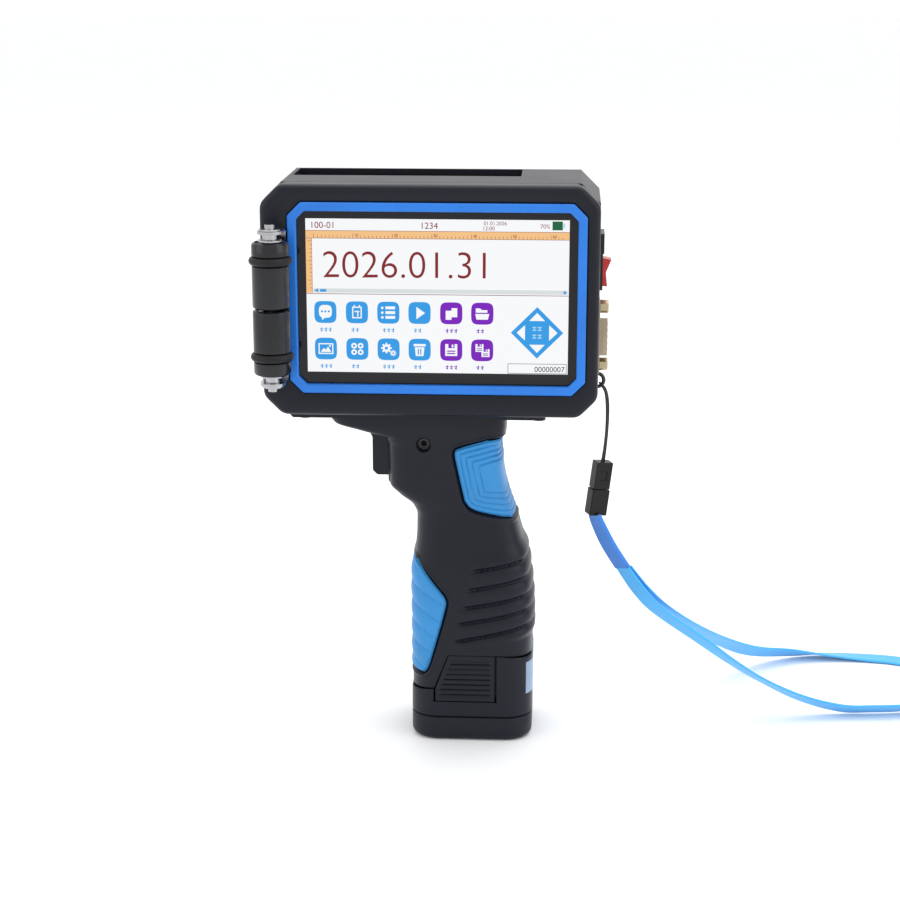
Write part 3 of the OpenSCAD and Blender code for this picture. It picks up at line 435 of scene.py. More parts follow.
roll, bezel_soft, trim_soft = 0.0028, 0.006, 0.002
turns = [k / 6 * math.pi / 2 for k in range(7)]
rows = octagons(bezel_lo, bezel_hi, corner_cut, bezel_soft,
                [(roll * (1 - math.sin(a)), face_y + roll * (1 - math.cos(a))) for a in turns]
                + [(0, seam_y - 0.0006), (0.0005, seam_y), (0.0025, seam_y),
                   (0.0025, face_y + 0.003)])
rows += octagons(trim_lo, trim_hi, trim_cut, trim_soft,
                 [(0.0024, face_y + 0.003), (0.0024, face_y + 0.0018),
                  (-0.0003, face_y + 0.0018), (-0.0003, face_y + 0.0003), (-0.0007, face_y)])
add_piece("front_bezel_shell", *bridged(rows, closed=True), charcoal, "head", ("front_bezel",),
          "housing_plastic", sharp=50)

eased("rear_shell", charcoal, 0.0009, 3)
steel = plated("bright_steel", (0.62, 0.62, 0.64))
dark_steel = plated("dark_screw", (0.06, 0.06, 0.065), 0.35)
eased("case_screws", dark_steel, 0.0003, 2)

# ---- head: trim frame, glass and screen -----------------------------------------------------
# A blue moulded frame with a flat front and small chamfers holds the black-bordered glass. The
# page behind the glass is a generic one: rulers, a large date, two rows of icons and a pad.

blue = moulded("blue_moulding", (0.014, 0.172, 0.64), 0.36, spread=0.08, Specular_IOR_Level=0.35)
glass_soft = 0.0016
rows = octagons(trim_lo, trim_hi, trim_cut, glass_soft,
                [(0, face_y + 0.0017), (0, face_y - 0.0006), (0.0004, face_y - 0.001),
                 (0.0031, face_y - 0.001), (0.0036, face_y - 0.0005), (0.0036, face_y + 0.0017)])
add_piece("trim_frame_moulding", *bridged(rows, closed=True), blue, "head", ("trim_frame",),
          "blue_plastic", sharp=25)

black_glass, shader, place = finish("black_glass", Roughness=0.08, Specular_IOR_Level=0.22,
                                    Coat_Weight=0.12, Coat_Roughness=0.03)
place.noise(25).between((0.006, 0.006, 0.008), (0.010, 0.010, 0.013)).into(shader, "Base Color")
place.noise(900, 2).bump(0.03, 0.00001).into(shader, "Normal")
glass_lo, glass_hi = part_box("touch_glass")
rows = octagons(glass_lo, glass_hi, trim_cut - 0.0014, glass_soft,
                [(0, glass_hi.y), (0, glass_lo.y + 0.0002), (0.0002, glass_lo.y)])
verts, faces = bridged(rows)
ring = len(rows[0])
faces.append(tuple(2 * ring + j for j in range(ring)))
faces.append(tuple(reversed(range(ring))))
add_piece("touch_glass_pane", verts, faces, black_glass, "head", ("touch_glass",), "glass",
          sharp=20)


def lit(name, colour, glow=0.94):
    """A lit colour on the display: rows of picture cells, seen faintly, under smooth glass."""
    made, shader, place = finish(name, Roughness=0.12, Specular_IOR_Level=0.3,
                                 Emission_Strength=glow)
    cells = (place.part("Z") * 23000.0).wave()
    cells.between(shade(colour, 0.93), colour).into(shader, "Emission Color")
    cells.between(shade(colour, 0.03), shade(colour, 0.05)).into(shader, "Base Color")
    return made


screen_w, screen_h = 0.108, 0.064
screen_x0 = (trim_lo.x + trim_hi.x) / 2 - screen_w / 2
screen_z1 = (trim_lo.z + trim_hi.z) / 2 + 0.00085 + screen_h / 2
page_y, leaf = glass_lo.y - 0.00004, 0.00003
page_colours = {
    "white": (0.95, 0.96, 0.98), "wine": (0.22, 0.004, 0.008), "sand": (0.93, 0.55, 0.24),
    "grey": (0.70, 0.74, 0.75), "sky": (0.02, 0.33, 0.80), "violet": (0.19, 0.0, 0.50),
    "green": (0.0, 0.12, 0.04), "ink": (0.01, 0.01, 0.015), "pale": (0.42, 0.70, 0.88),
}
page_shapes = {colour: [] for colour in page_colours}


def shape(colour, layer, points):
    """A flat outline on the page: millimetres across and down from the top left corner."""
    page_shapes[colour].append([(screen_x0 + x / 1000, page_y - layer * leaf, screen_z1 - d / 1000)
                                for x, d in points])


def about(colour, layer, x, d, points):
    """An outline given about an icon's middle."""
    shape(colour, layer, [(x + px, d + pd) for px, pd in points])


def bar(colour, layer, x, d, w, h):
    shape(colour, layer, [(x, d), (x, d + h), (x + w, d + h), (x + w, d)])


def disc(colour, layer, x, d, r, sides=20):
    shape(colour, layer, [(x + r * math.cos(-2 * math.pi * k / sides),
                           d + r * math.sin(-2 * math.pi * k / sides)) for k in range(sides)])


def tile(colour, layer, x, d, half, power=4, sides=36):
    """A square with very round corners, as icons have."""
    points = []
    for k in range(sides):
        c, s = math.cos(-2 * math.pi * k / sides), math.sin(-2 * math.pi * k / sides)
        points.append((x + half * math.copysign(abs(c) ** (2 / power), c),
                       d + half * math.copysign(abs(s) ** (2 / power), s)))
    shape(colour, layer, points)


def outline(colour, layer, x, d, w, h, line):
    bar(colour, layer, x, d, w, line)
    bar(colour, layer, x, d + h - line, w, line)
    bar(colour, layer, x, d + line, line, h - 2 * line)
    bar(colour, layer, x + w - line, d + line, line, h - 2 * line)


bar("white", 0, 0, 0, 108, 64)
bar("sand", 1, 0, 5.0, 108, 3.0)
bar("wine", 2, 0, 4.85, 108, 0.18)
bar("wine", 2, 0, 8.0, 108, 0.18)
bar("sand", 1, 0, 8.2, 2.4, 22.6)
bar("wine", 2, 2.4, 8.2, 0.16, 22.6)
bar("wine", 2, 0, 31.0, 108, 0.24)
for k in range(64):
    tall = 1.7 if k % 10 == 0 else 1.0
    bar("wine", 3, 3.2 + k * 1.62, 7.9 - tall, 0.16, tall)
for k in range(13):
    bar("wine", 3, 2.3 - (1.5 if k % 5 == 0 else 0.8), 9.2 + k * 1.62, 1.5 if k % 5 == 0 else 0.8,
        0.16)
bar("grey", 1, 2.9, 28.9, 104.6, 1.7)
bar("sky", 2, 5.6, 29.2, 2.6, 1.1)
shape("sky", 2, [(3.2, 29.75), (4.9, 30.6), (4.9, 28.9)])
shape("sky", 2, [(107.4, 29.75), (105.9, 28.9), (105.9, 30.6)])
bar("green", 2, 101, 0.5, 4.2, 3.6)
bar("pale", 1, 105.4, 1.3, 0.7, 2.0)
outline("ink", 2, 83.2, 59.6, 24.3, 4.2, 0.2)

icon_x = [7.7, 20.8, 33.8, 46.7, 59.8, 72.6]
icon_d = [38.8, 54.2]
for d in icon_d:
    for column, x in enumerate(icon_x):
        shade_of = "sky" if column < 4 else "violet"
        tile(shade_of, 1, x, d, 4.6)
        for k in range(2 if column % 2 else 3):
            bar(shade_of, 1, x - 2.4 + k * 1.8, d + 6.9, 1.3, 0.35)
            bar(shade_of, 1, x - 2.2 + k * 1.8, d + 7.6, 0.9, 0.35)
            bar(shade_of, 1, x - 1.7 + k * 1.8, d + 6.4, 0.3, 1.9)
top, low = icon_d
tile("white", 2, icon_x[0], top - 0.3, 2.7, 3)
about("white", 2, icon_x[0], top, [(-1.6, 1.8), (-1.4, 3.4), (0.4, 1.9)])
for k in (-1, 0, 1):
    disc("sky", 3, icon_x[0] + k * 1.4, top - 0.3, 0.45)
outline("white", 2, icon_x[1] - 2.0, top - 2.4, 4.0, 4.9, 0.5)
bar("white", 2, icon_x[1] - 1.0, top - 0.6, 2.0, 0.5)
bar("white", 2, icon_x[1] + 0.1, top - 0.2, 0.5, 2.0)
bar("white", 2, icon_x[1] - 1.3, top - 3.1, 0.5, 1.0)
bar("white", 2, icon_x[1] + 0.8, top - 3.1, 0.5, 1.0)
for k in (-1, 0, 1):
    bar("white", 2, icon_x[2] - 1.2, top + k * 2.0 - 0.65, 4.0, 1.2)
    disc("white", 2, icon_x[2] - 2.5, top + k * 2.0, 0.55)
about("white", 2, icon_x[3], top, [(-1.3, -2.6), (-1.3, 2.6), (2.3, 0)])
for k, colour in ((0.9, "violet"), (0, "white")):
    for dx, dd in ((-2.3, -1.1), (0.1, -2.2)):
        bar(colour, 3 if k == 0 else 2, icon_x[4] + dx - k * 0.3, top + dd - k * 0.3, 2.4 + k * 0.5,
            3.8 + k * 0.5)
about("white", 2, icon_x[5], top, [(-2.7, -2.2), (-2.7, -0.4), (2.1, -0.4), (2.1, -1.5),
                                   (-0.2, -1.5), (-0.9, -2.2)])
about("white", 2, icon_x[5], top, [(-2.9, 0.1), (-2.4, 2.5), (2.3, 2.5), (2.9, 0.1)])
outline("white", 2, icon_x[0] - 3.1, low - 2.3, 6.2, 4.6, 0.5)
about("white", 2, icon_x[0], low, [(-2.2, 1.4), (2.2, 1.4), (0.9, -0.9), (-0.1, 0.5),
                                   (-0.9, -0.3)])
disc("white", 2, icon_x[0] + 1.7, low - 1.2, 0.4)
for dx in (-1.35, 1.35):
    for dd in (-1.35, 1.35):
        disc("white", 2, icon_x[1] + dx, low + dd, 1.2)
        disc("sky", 3, icon_x[1] + dx, low + dd, 0.5)
for gx, gd, r in ((-0.9, -0.5, 1.6), (1.9, 1.6, 0.9)):
    disc("white", 2, icon_x[2] + gx, low + gd, r)
    disc("sky", 3, icon_x[2] + gx, low + gd, r * 0.42)
    for k in range(8):
        a = k * math.pi / 4
        disc("white", 2, icon_x[2] + gx + (r + 0.25) * math.cos(a),
             low + gd + (r + 0.25) * math.sin(a), r * 0.26, 8)
bar("white", 2, icon_x[3] - 2.5, low - 2.4, 5.0, 1.0)
about("white", 2, icon_x[3], low, [(-2.0, -1.0), (-1.6, 2.7), (1.6, 2.7), (2.0, -1.0)])
for k in (-0.8, 0.2):
    bar("sky", 3, icon_x[3] + k, low - 0.4, 0.5, 2.5)
for fx, fd, s in ((icon_x[4], low, 1.0), (icon_x[5] - 1.1, low - 1.0, 0.66),
                  (icon_x[5] + 1.4, low + 1.1, 0.66)):
    bar("violet", 2, fx - 2.9 * s, fd - 2.9 * s, 5.8 * s, 5.8 * s)
    bar("white", 3, fx - 2.5 * s, fd - 2.5 * s, 5.0 * s, 5.0 * s)
    bar("violet", 4, fx - 1.2 * s, fd - 2.5 * s, 2.6 * s, 1.7 * s)
    bar("white", 5, fx + 0.2 * s, fd - 2.3 * s, 0.7 * s, 1.2 * s)
    bar("violet", 4, fx - 1.7 * s, fd + 0.2 * s, 3.4 * s, 0.5 * s)
    bar("violet", 4, fx - 1.7 * s, fd + 1.2 * s, 3.4 * s, 0.5 * s)

pad_x, pad_d, pad_r = 95.2, 46.6, 10.8
shape("sky", 1, [(pad_x, pad_d - pad_r), (pad_x - pad_r, pad_d), (pad_x, pad_d + pad_r),
                 (pad_x + pad_r, pad_d)])
for ax, ad in ((0, -1), (-1, 0), (0, 1), (1, 0)):
    tip, foot, half = pad_r * 0.78, pad_r * 0.46, pad_r * 0.30
    corners = [(tip, 0), (foot, -half), (foot, half)]
    shape("white", 2, [(pad_x + u * ax - v * ad, pad_d + u * ad + v * ax)
                       for u, v in reversed(corners)])
for k in (-1, 1):
    for j in (-1.9, 0.3):
        bar("pale", 2, pad_x + j, pad_d + k * 1.6 - 0.9, 1.6, 0.45)
        bar("pale", 2, pad_x + j, pad_d + k * 1.6 + 0.3, 1.6, 0.45)
        bar("pale", 2, pad_x + j + 0.6, pad_d + k * 1.6 - 0.9, 0.4, 1.6)

for colour, outlines in page_shapes.items():
    verts, faces = [], []
    for points in outlines:
        faces.append(tuple(range(len(verts), len(verts) + len(points))))
        verts += points
    add_piece("page_" + colour, verts, faces, lit("lit_" + colour, page_colours[colour]), "head",
              slot="display")


def digits(name, words, colour, x, d, height, thin=0.0):
    """Numbers on the page, in a plain face, as flat shapes."""
    letter = bpy.data.curves.new(name, "FONT")
    letter.body, letter.size, letter.offset = words, height / 1000 / 0.70, thin
    form = bpy.data.objects.new(name, letter)
    bpy.context.scene.collection.objects.link(form)
    bpy.context.view_layer.update()
    mesh = bpy.data.meshes.new_from_object(form)
    bpy.data.objects.remove(form)
    for v in mesh.vertices:
        v.co = (screen_x0 + x / 1000 + v.co.x, page_y - 4 * leaf, screen_z1 - d / 1000 + v.co.y)
    return dress(name, mesh, bpy.data.materials["lit_" + colour], "head", slot="display")


digits("page_date", "2026.01.31", "wine", 6.3, 24.3, 11.2, -0.00018)
digits("page_corner", "100-01", "wine", 1.8, 3.9, 2.6)
digits("page_number", "1234", "wine", 47.0, 3.9, 2.6)
digits("page_clock", "12:00", "wine", 72.5, 4.3, 1.6)
digits("page_day", "01.01.2026", "wine", 73.0, 2.2, 1.5)
digits("page_charge", "70%", "wine", 96.0, 3.4, 1.7)
digits("page_count", "00000007", "ink", 94.2, 63.0, 2.2)
for k in range(1, 7):
    digits(f"page_rule_{k}", str(10 * k), "wine", 3.9 + k * 16.2, 7.3, 1.2)
repaint("lcd_module", lit("lit_panel", (0.8, 0.85, 0.9), 0.3))

# ---- ports ---------------------------------------------------------------------------------
# On the right side, from the top: a USB socket, a red rocker in its black surround, a nine pin
# serial port with its two hexagonal jackscrews, and a small wire eyelet for the lanyard.

port_black = moulded("port_black", (0.007, 0.007, 0.008), 0.33, spread=0.08, Specular_IOR_Level=0.4)
eased("usb_port", port_black, 0.0004, 3)
eased("switch_housing", port_black, 0.0006, 3)
rocker_red = moulded("rocker_red", (0.55, 0.012, 0.012), 0.22, spread=0.06)
eased("rocker", rocker_red, 0.0006, 3)
serial_tin = plated("serial_tin", (0.42, 0.35, 0.26), 0.34)
eased("serial_port", serial_tin, 0.0004, 3)
brass = plated("brass", (0.55, 0.47, 0.30), 0.28)
eased("jackscrews", brass, 0.0003, 2)
repaint("lanyard_eyelet", dark_steel)

PORT_Y, SERIAL_Z = -0.003, 0.178
pin_holes = []
for column, count in ((-1.4, 5), (1.4, 4)):
    for k in range(count):
        pin_holes.append((PORT_Y + column / 1000, SERIAL_Z + (k - (count - 1) / 2) * 0.00277))


def lathe(profile, centre, along="Z", sides=72, closed=True):
    """A turned form: (radius, height) points turned about an axis through centre."""
    verts, faces = [], []
    m = len(profile)
    for k in range(sides):
        c, s = math.cos(2 * math.pi * k / sides), math.sin(2 * math.pi * k / sides)
        for r, h in profile:
            if along == "Z":
                verts.append((centre[0] + r * c, centre[1] + r * s, centre[2] + h))
            elif along == "X":
                verts.append((centre[0] + h, centre[1] + r * c, centre[2] + r * s))
            else:
                verts.append((centre[0] + r * s, centre[1] + h, centre[2] + r * c))
    for k in range(sides):
        for j in range(m if closed else m - 1):
            a, b = k * m + j, k * m + (j + 1) % m
            c, d = ((k + 1) % sides) * m + (j + 1) % m, ((k + 1) % sides) * m + j
            faces.append((a, d, c, b))
    return verts, faces


def joined(parts):
    """Several meshes as one list of points and faces."""
    verts, faces = [], []
    for v, f in parts:
        faces += [tuple(len(verts) + i for i in face) for face in f]
        verts += list(v)
    return verts, faces


# The serial port's face is a black moulding with nine holes for the pins, each with a gold rim.
insert_x = 0.0565
plate = [(insert_x + 0.00003, PORT_Y + dy / 1000, SERIAL_Z + dz / 1000)
         for dy, dz in ((-3.1, -7.1), (3.1, -6.0), (3.1, 6.0), (-3.1, 7.1))]
add_piece("serial_insert", plate, [(0, 1, 2, 3)], port_black, "head", slot="black_plastic")
add_piece("serial_pins", *joined([lathe([(0.0, 0.0), (0.00035, 0.0), (0.0006, 0.0001),
          (0.0007, -0.0001)], (insert_x + 0.00012, y, z), "X", 16, False) for y, z in pin_holes]),
          brass, "head", slot="gold")

# ---- roller unit ---------------------------------------------------------------------------
# Two turned rollers in black acetal run on one steel axle between the ears of a chromed
# bracket. Each has a rubber O-ring in a groove near its outer end.

ROLLER_X, ROLLER_Y, ROLLER_MID, ROLLER_R = -0.0811, -0.0435, 0.1955, 0.00765
chrome = plated("chrome", (0.50, 0.50, 0.52), 0.18)
satin_black = moulded("satin_black_acetal", (0.006, 0.0065, 0.009), 0.24, 1800, 0.00002, 0.06,
                      Specular_IOR_Level=0.4)
o_rubber = moulded("ring_rubber", (0.005, 0.005, 0.006), 0.5, 1500, Specular_IOR_Level=0.3)
for name, side in (("upper", 1), ("lower", -1)):
    profile = [(0.0021, 0.0004), (0.0032, 0.0004), (0.0036, 0.0009), (0.0058, 0.0009),
               (0.0062, 0.0004), (0.0069, 0.0004), (0.00755, 0.0009), (ROLLER_R, 0.0014)]
    groove = 0.0198
    profile += [(ROLLER_R, groove - 0.0022), (ROLLER_R - 0.0003, groove - 0.0019),
                (ROLLER_R - 0.0018, groove - 0.0016), (ROLLER_R - 0.0022, groove),
                (ROLLER_R - 0.0018, groove + 0.0016), (ROLLER_R - 0.0003, groove + 0.0019),
                (ROLLER_R, groove + 0.0022)]
    profile += [(ROLLER_R, 0.0262), (0.0072, 0.0270), (0.0064, 0.0274), (0.0060, 0.0268),
                (0.0038, 0.0268), (0.0034, 0.0274), (0.0021, 0.0274)]
    if side < 0:
        profile = [(r, -h) for r, h in reversed(profile)]
    add_piece(name + "_roller_turned", *lathe(profile, (ROLLER_X, ROLLER_Y, ROLLER_MID), "Z", 96),
              satin_black, name + "_roller", (name + "_roller",), "housing_plastic", sharp=30)
    ring_r, wire = 0.0071, 0.00175
    section = [(ring_r + wire * math.cos(a), side * groove + wire * math.sin(a))
               for a in (2 * math.pi * k / 20 for k in range(20))]
    add_piece(name + "_ring_rubber", *lathe(section, (ROLLER_X, ROLLER_Y, ROLLER_MID), "Z", 96),
              o_rubber, name + "_roller", (name + "_ring",), "rubber")
eased("roller_bracket", chrome, 0.0003, 2)
for node in ("roller_axle", "axle_clips", "axle_washers", "axle_spacers", "bracket_screws"):
    eased(node, chrome, 0.00015, 2)

# ---- plate under the head ------------------------------------------------------------------
# A moulded plate is screwed up into the head, and the handle's flange is bolted up into it.

eased("neck_plate", charcoal, 0.0011, 3)
repaint("plate_screws", dark_steel)
repaint("neck_bolts", dark_steel)

# ---- handle --------------------------------------------------------------------------------
# Two moulded halves meet on the middle plane. Each is a fine grid laid on the grip's sections,
# with five bulging ribs, the recesses of the soft pads, screw holes and the trigger's mouth.

GRIP = np.array([
    (14, -26.6, 26.3, 23.5, 3.4), (45, -26.7, 26.2, 23.5, 3.4), (60, -26.8, 25.8, 23.2, 3.4),
    (70, -26.9, 25.0, 22.7, 3.4), (77, -26.6, 24.1, 22.0, 3.4), (83, -25.6, 23.2, 21.2, 3.4),
    (92, -24.8, 20.7, 19.8, 3.4), (99, -24.7, 18.7, 18.8, 3.4), (104, -26.8, 16.4, 18.3, 3.4),
    (109, -32.8, 14.2, 18.1, 3.8), (113.5, -36.4, 12.6, 18.0, 4.4), (121, -36.6, 11.5, 18.0, 4.6),
    (131, -36.8, 11.3, 18.2, 5.0), (134.5, -38.0, 12.8, 18.6, 6.0), (138, -50, 14, 19.2, 6.0),
    (141, -60, 14.2, 19.5, 6.0), (144.6, -62, 14.2, 19.5, 6.0)])
SEAM = np.array([(-40, 20.5), (-16.4, 24), (-10.3, 39.6), (10.9, 39.6), (40, 36.6)])
PALM_PAD = np.array([(99.8, 17.4), (101.5, 11), (104, -0.5), (107.4, -3.2), (109, -3.6),
                     (113.5, -4.7), (121, -6.3), (129.2, -8.1), (131, -6.4), (134.5, 7)])
FINGER_PAD = np.array([(30.2, -21.4), (32, -19.4), (45, -15.6), (60, -11.5), (64.6, -10.8),
                       (70, -15.6), (77, -21.8), (80.5, -24.6)])
RIBS = [(45.7, -7.0, 52.1), (53.6, -5.7, 59.1), (60.9, -3.2, 65.6), (68.9, -1.2, 73.5),
        (77.4, 0.7, 81.3)]


def softened(edge):
    """An edge with its corners rounded by cutting them off twice, its ends kept."""
    for _ in range(2):
        a, b = edge[:-1], edge[1:]
        cut = np.stack([a * 0.75 + b * 0.25, a * 0.25 + b * 0.75], axis=1).reshape(-1, 2)
        edge = np.vstack([edge[:1], cut[1:-1], edge[-1:]])
    return edge


PALM_PAD, FINGER_PAD = softened(PALM_PAD), softened(FINGER_PAD)
MOUTH = (6.7, 115.5, 135.9)
SCREWS = [(-20.9, 132.6, -1), (-14, 90, 1), (-20, 108, 1), (10, 100, 1)]


def soft(value, low, high):
    t = np.clip((value - low) / (high - low), 0, 1)
    return t * t * (3 - 2 * t)


def section_at(z):
    """Left side, right side, half thickness and squareness of the grip at heights z."""
    steps = np.diff(GRIP[:, 0])
    values = GRIP[:, 1:]
    slopes = np.diff(values, axis=0) / steps[:, None]
    tangent = np.zeros_like(values)
    both = slopes[:-1] * slopes[1:] > 0
    mean = 2 * slopes[:-1] * slopes[1:] / np.where(both, slopes[:-1] + slopes[1:], 1)
    tangent[1:-1] = np.where(both, mean, 0)
    k = np.clip(np.searchsorted(GRIP[:, 0], z, side="right") - 1, 0, len(steps) - 1)
    t = ((z - GRIP[k, 0]) / steps[k])[:, None]
    h = steps[k][:, None]
    return ((1 + 2 * t) * (1 - t) ** 2 * values[k] + t * (1 - t) ** 2 * h * tangent[k]
            + t * t * (3 - 2 * t) * values[k + 1] + t * t * (t - 1) * h * tangent[k + 1])


def half_outline(row, samples=1600):
    """The front half of one section, from its left end round to its right: x, y and length."""
    left, right, half, n = row
    turn = np.pi * (np.linspace(-1, 1, samples) + 1) / 2
    close = np.geomspace(1e-6, 0.05, 200)
    fine = np.concatenate([[0], close, turn[(turn > 0.05) & (turn < np.pi - 0.05)],
                           np.pi - np.geomspace(0.05, 1e-6, 200), [np.pi]])
    c = -np.cos(fine)
    x = (left + right) / 2 + (right - left) / 2 * np.sign(c) * np.abs(c) ** (2 / n)
    y = -half * np.abs(np.sin(fine)) ** (2 / n)
    length = np.concatenate([[0], np.cumsum(np.hypot(np.diff(x), np.diff(y)))])
    return x, y, length


def edge_distance(x, z, edge):
    """How far points are from a pad's edge, which is given as heights and places."""
    end = 60 if edge is PALM_PAD else -60
    line = np.vstack([[edge[0, 0], end], edge, [edge[-1, 0], end]])
    best = np.full(np.shape(x), 1e9)
    for (z0, x0), (z1, x1) in zip(line[:-1], line[1:]):
        dx, dz = x1 - x0, z1 - z0
        t = np.clip(((x - x0) * dx + (z - z0) * dz) / (dx * dx + dz * dz), 0, 1)
        best = np.minimum(best, np.hypot(x - x0 - t * dx, z - z0 - t * dz))
    place = np.interp(z, edge[:, 0], edge[:, 1])
    inside = (z > edge[0, 0]) & (z < edge[-1, 0]) & ((x > place) if end > 0 else (x < place))
    return np.where(inside, -best, best)


def outward(grid):
    """Unit normals of a grid of points that runs left to right and upward on the front."""
    n = np.cross(np.gradient(grid, axis=1), np.gradient(grid, axis=0))
    return n / np.maximum(np.linalg.norm(n, axis=2), 1e-9)[:, :, None]


def grid_faces(rows, cols, flip, skip=None):
    faces = []
    for r in range(rows - 1):
        for c in range(cols - 1):
            if skip is not None and skip(r, c):
                continue
            a = r * cols + c
            quad = (a, a + 1, a + cols + 1, a + cols)
            faces.append(quad[::-1] if flip else quad)
    return faces


def folded(grid, depth):
    """The grid with a rim turned inward all round, so that its edges look thick."""
    n = outward(grid)
    inner = grid - n * depth
    grid = np.concatenate([inner[:, :1], grid, inner[:, -1:]], axis=1)
    inner = np.concatenate([inner[:, :1], inner, inner[:, -1:]], axis=1)
    return np.concatenate([inner[:1], grid, inner[-1:]], axis=0)


def half_piece(grid, side, skip=None):
    """Points in metres and faces of a front grid, turned over to the rear where side is 1."""
    rows, cols = grid.shape[:2]
    if side > 0:
        grid[:, :, 1] *= -1
    return ([tuple(v) for v in grid.reshape(-1, 3) / 1000],
            grid_faces(rows, cols, side > 0, skip))


GRID_STEP, SPLIT_Y, GRIP_WALL = 0.4, -0.04, 2.2
fine_z = np.arange(14, 144.61, GRID_STEP)
outlines = [half_outline(row) for row in section_at(fine_z)]
mouth_columns, face_columns = 24, 190
columns = []
for x, y, length in outlines:
    turn_in = np.interp(MOUTH[0], -y[:len(y) // 2], length[:len(y) // 2])
    places = np.concatenate([np.linspace(0, turn_in, mouth_columns, endpoint=False),
                             np.linspace(turn_in, length[-1], face_columns)])
    columns.append((np.interp(places, length, x), np.interp(places, length, y)))
table_x, table_y = np.array([c[0] for c in columns]), np.array([c[1] for c in columns])
bottom = np.interp(table_x[40], SEAM[:, 0], SEAM[:, 1])


def table_at(table, z):
    """Values of a table of rows at fine_z, at a grid of heights z."""
    k = np.clip((z - fine_z[0]) / GRID_STEP, 0, len(fine_z) - 1.001)
    low = k.astype(int)
    column = np.broadcast_to(np.arange(z.shape[1]), z.shape)
    return table[low, column] * (1 - (k - low)) + table[low + 1, column] * (k - low)


high = np.concatenate([np.arange(46, MOUTH[1], GRID_STEP), np.linspace(MOUTH[1], MOUTH[2], 52),
                       np.linspace(MOUTH[2], 144.6, 23)[1:]])
low_rows = 64
share = np.linspace(0, 1, low_rows, endpoint=False)[:, None]
grid_z = np.concatenate([bottom[None] + (46 - bottom[None]) * share,
                         np.broadcast_to(high[:, None], (len(high), len(bottom)))])
grid_x, grid_y = table_at(table_x, grid_z), table_at(table_y, grid_z)
mouth_low = low_rows + int(np.argmin(abs(high - MOUTH[1])))
mouth_high = low_rows + int(np.argmin(abs(high - MOUTH[2])))
surface = np.stack([grid_x, grid_y, grid_z], axis=2)

ribs = np.zeros_like(grid_x)
lines = []
for z0, x0, z1 in RIBS:
    reach = np.clip((grid_x - x0) / (24 - x0), -0.2, 1)
    lines.append(z0 + (z1 - z0) * reach)
starts = [x0 for _, x0, _ in RIBS]
for k in range(-1, len(RIBS)):
    under = lines[k] if k >= 0 else lines[0] - 6.2
    over = lines[k + 1] if k + 1 < len(RIBS) else lines[-1] + 9
    start = starts[max(k, 0)]
    w = np.clip((grid_z - under) / (over - under), 0, 1)
    body = (1 - np.abs(2 * w - 1) ** 2.4) * 1.25
    if k == -1:
        body = 1.25 * soft(w, 0, 0.6) * (1 - w ** 6)
    if k == len(RIBS) - 1:
        body = 1.25 * (1 - soft(w, 0.1, 1)) * (1 - (1 - w) ** 8)
    ribs += np.where((w > 0) & (w < 1), body, 0) * soft(grid_x, start - 1.5, start + 3.5)
for line, start in zip(lines, starts):
    ribs -= 0.55 * np.exp(-((grid_z - line) / 0.8) ** 2) * soft(grid_x, start - 1.5, start + 1)
    ribs += 0.35 * (np.exp(-((grid_z - line - 1.6) / 0.8) ** 2) * soft(grid_x, start - 1.5, start)
                   * (1 - soft(grid_x, start + 2, start + 8)))

relief = ribs
for edge in (PALM_PAD, FINGER_PAD):
    d = edge_distance(grid_x, grid_z, edge)
    relief = relief * soft(d, 0, 3)
    relief = relief - 1.5 * (1 - soft(d, 0.25, 1.25)) + 0.5 * np.exp(-((d - 1.75) / 0.5) ** 2)
on_left = grid_x < -20
d = np.maximum.reduce([np.abs(grid_y) - MOUTH[0], MOUTH[1] - grid_z, grid_z - MOUTH[2]])
relief += np.where(on_left & (grid_z < 134), 0.6 * (1 - soft(d, 1.4, 2.4)) * soft(d, -0.5, 0.4), 0)

for node, side in (("handle_front", -1), ("handle_rear", 1)):
    sunk = relief.copy()
    for sx, sz, owner in SCREWS:
        if owner == side:
            d = np.hypot(grid_x - sx, grid_z - sz)
            sunk -= 3.4 * (1 - soft(d, 2.7, 3.2)) - 0.12 * np.exp(-((d - 3.8) / 0.4) ** 2)
    grid = surface + outward(surface) * sunk[:, :, None]
    grid[:, 0, 1] = grid[:, -1, 1] = SPLIT_Y
    ends = grid[:, [0, -1], :].copy()
    grid = folded(grid, GRIP_WALL)
    grid[1:-1, 0] = ends[:, 0] + (GRIP_WALL, 0, 0)
    grid[1:-1, -1] = ends[:, 1] - (GRIP_WALL, 0, 0)
    cols = grid.shape[1]
    verts, faces = half_piece(grid, side, lambda r, c: (mouth_low < r <= mouth_high
                                                        and c <= mouth_columns))
    border = ([(mouth_low + 1, c) for c in range(1, mouth_columns + 2)]
              + [(r, mouth_columns + 1) for r in range(mouth_low + 2, mouth_high + 1)]
              + [(mouth_high + 1, c) for c in range(mouth_columns + 1, 0, -1)])
    first = len(verts)
    verts += [tuple((grid[r, c] + (7, 0, 0)) / 1000) for r, c in border]
    for k in range(len(border) - 1):
        (r0, c0), (r1, c1) = border[k], border[k + 1]
        quad = (r0 * cols + c0, r1 * cols + c1, first + k + 1, first + k)
        faces.append(quad if side > 0 else quad[::-1])
    add_piece(node + "_moulding", verts, faces, charcoal, "head", (node,), "housing_plastic",
              sharp=84)
repaint("handle_screws", dark_steel)
heads = []
for sx, sz, owner in SCREWS:
    face = (sx / 1000, owner * 0.01582, sz / 1000)
    ring = [(0.0022 + 0.0004 * math.cos(a), 0.0004 * math.sin(a))
            for a in (2 * math.pi * k / 12 for k in range(12))]
    heads.append(lathe(ring, face, "Y", 36))
add_piece("handle_screw_rims", *joined(heads), dark_steel, "head", slot="black_plastic")
# Flat near-black hexagons on the handle and case screw heads are painted shade. They stand in for
# the dark inside of each hex socket, which is not cut.
socket_painted_shade, shader, place = finish("socket_painted_shade", Specular_IOR_Level=0.1)
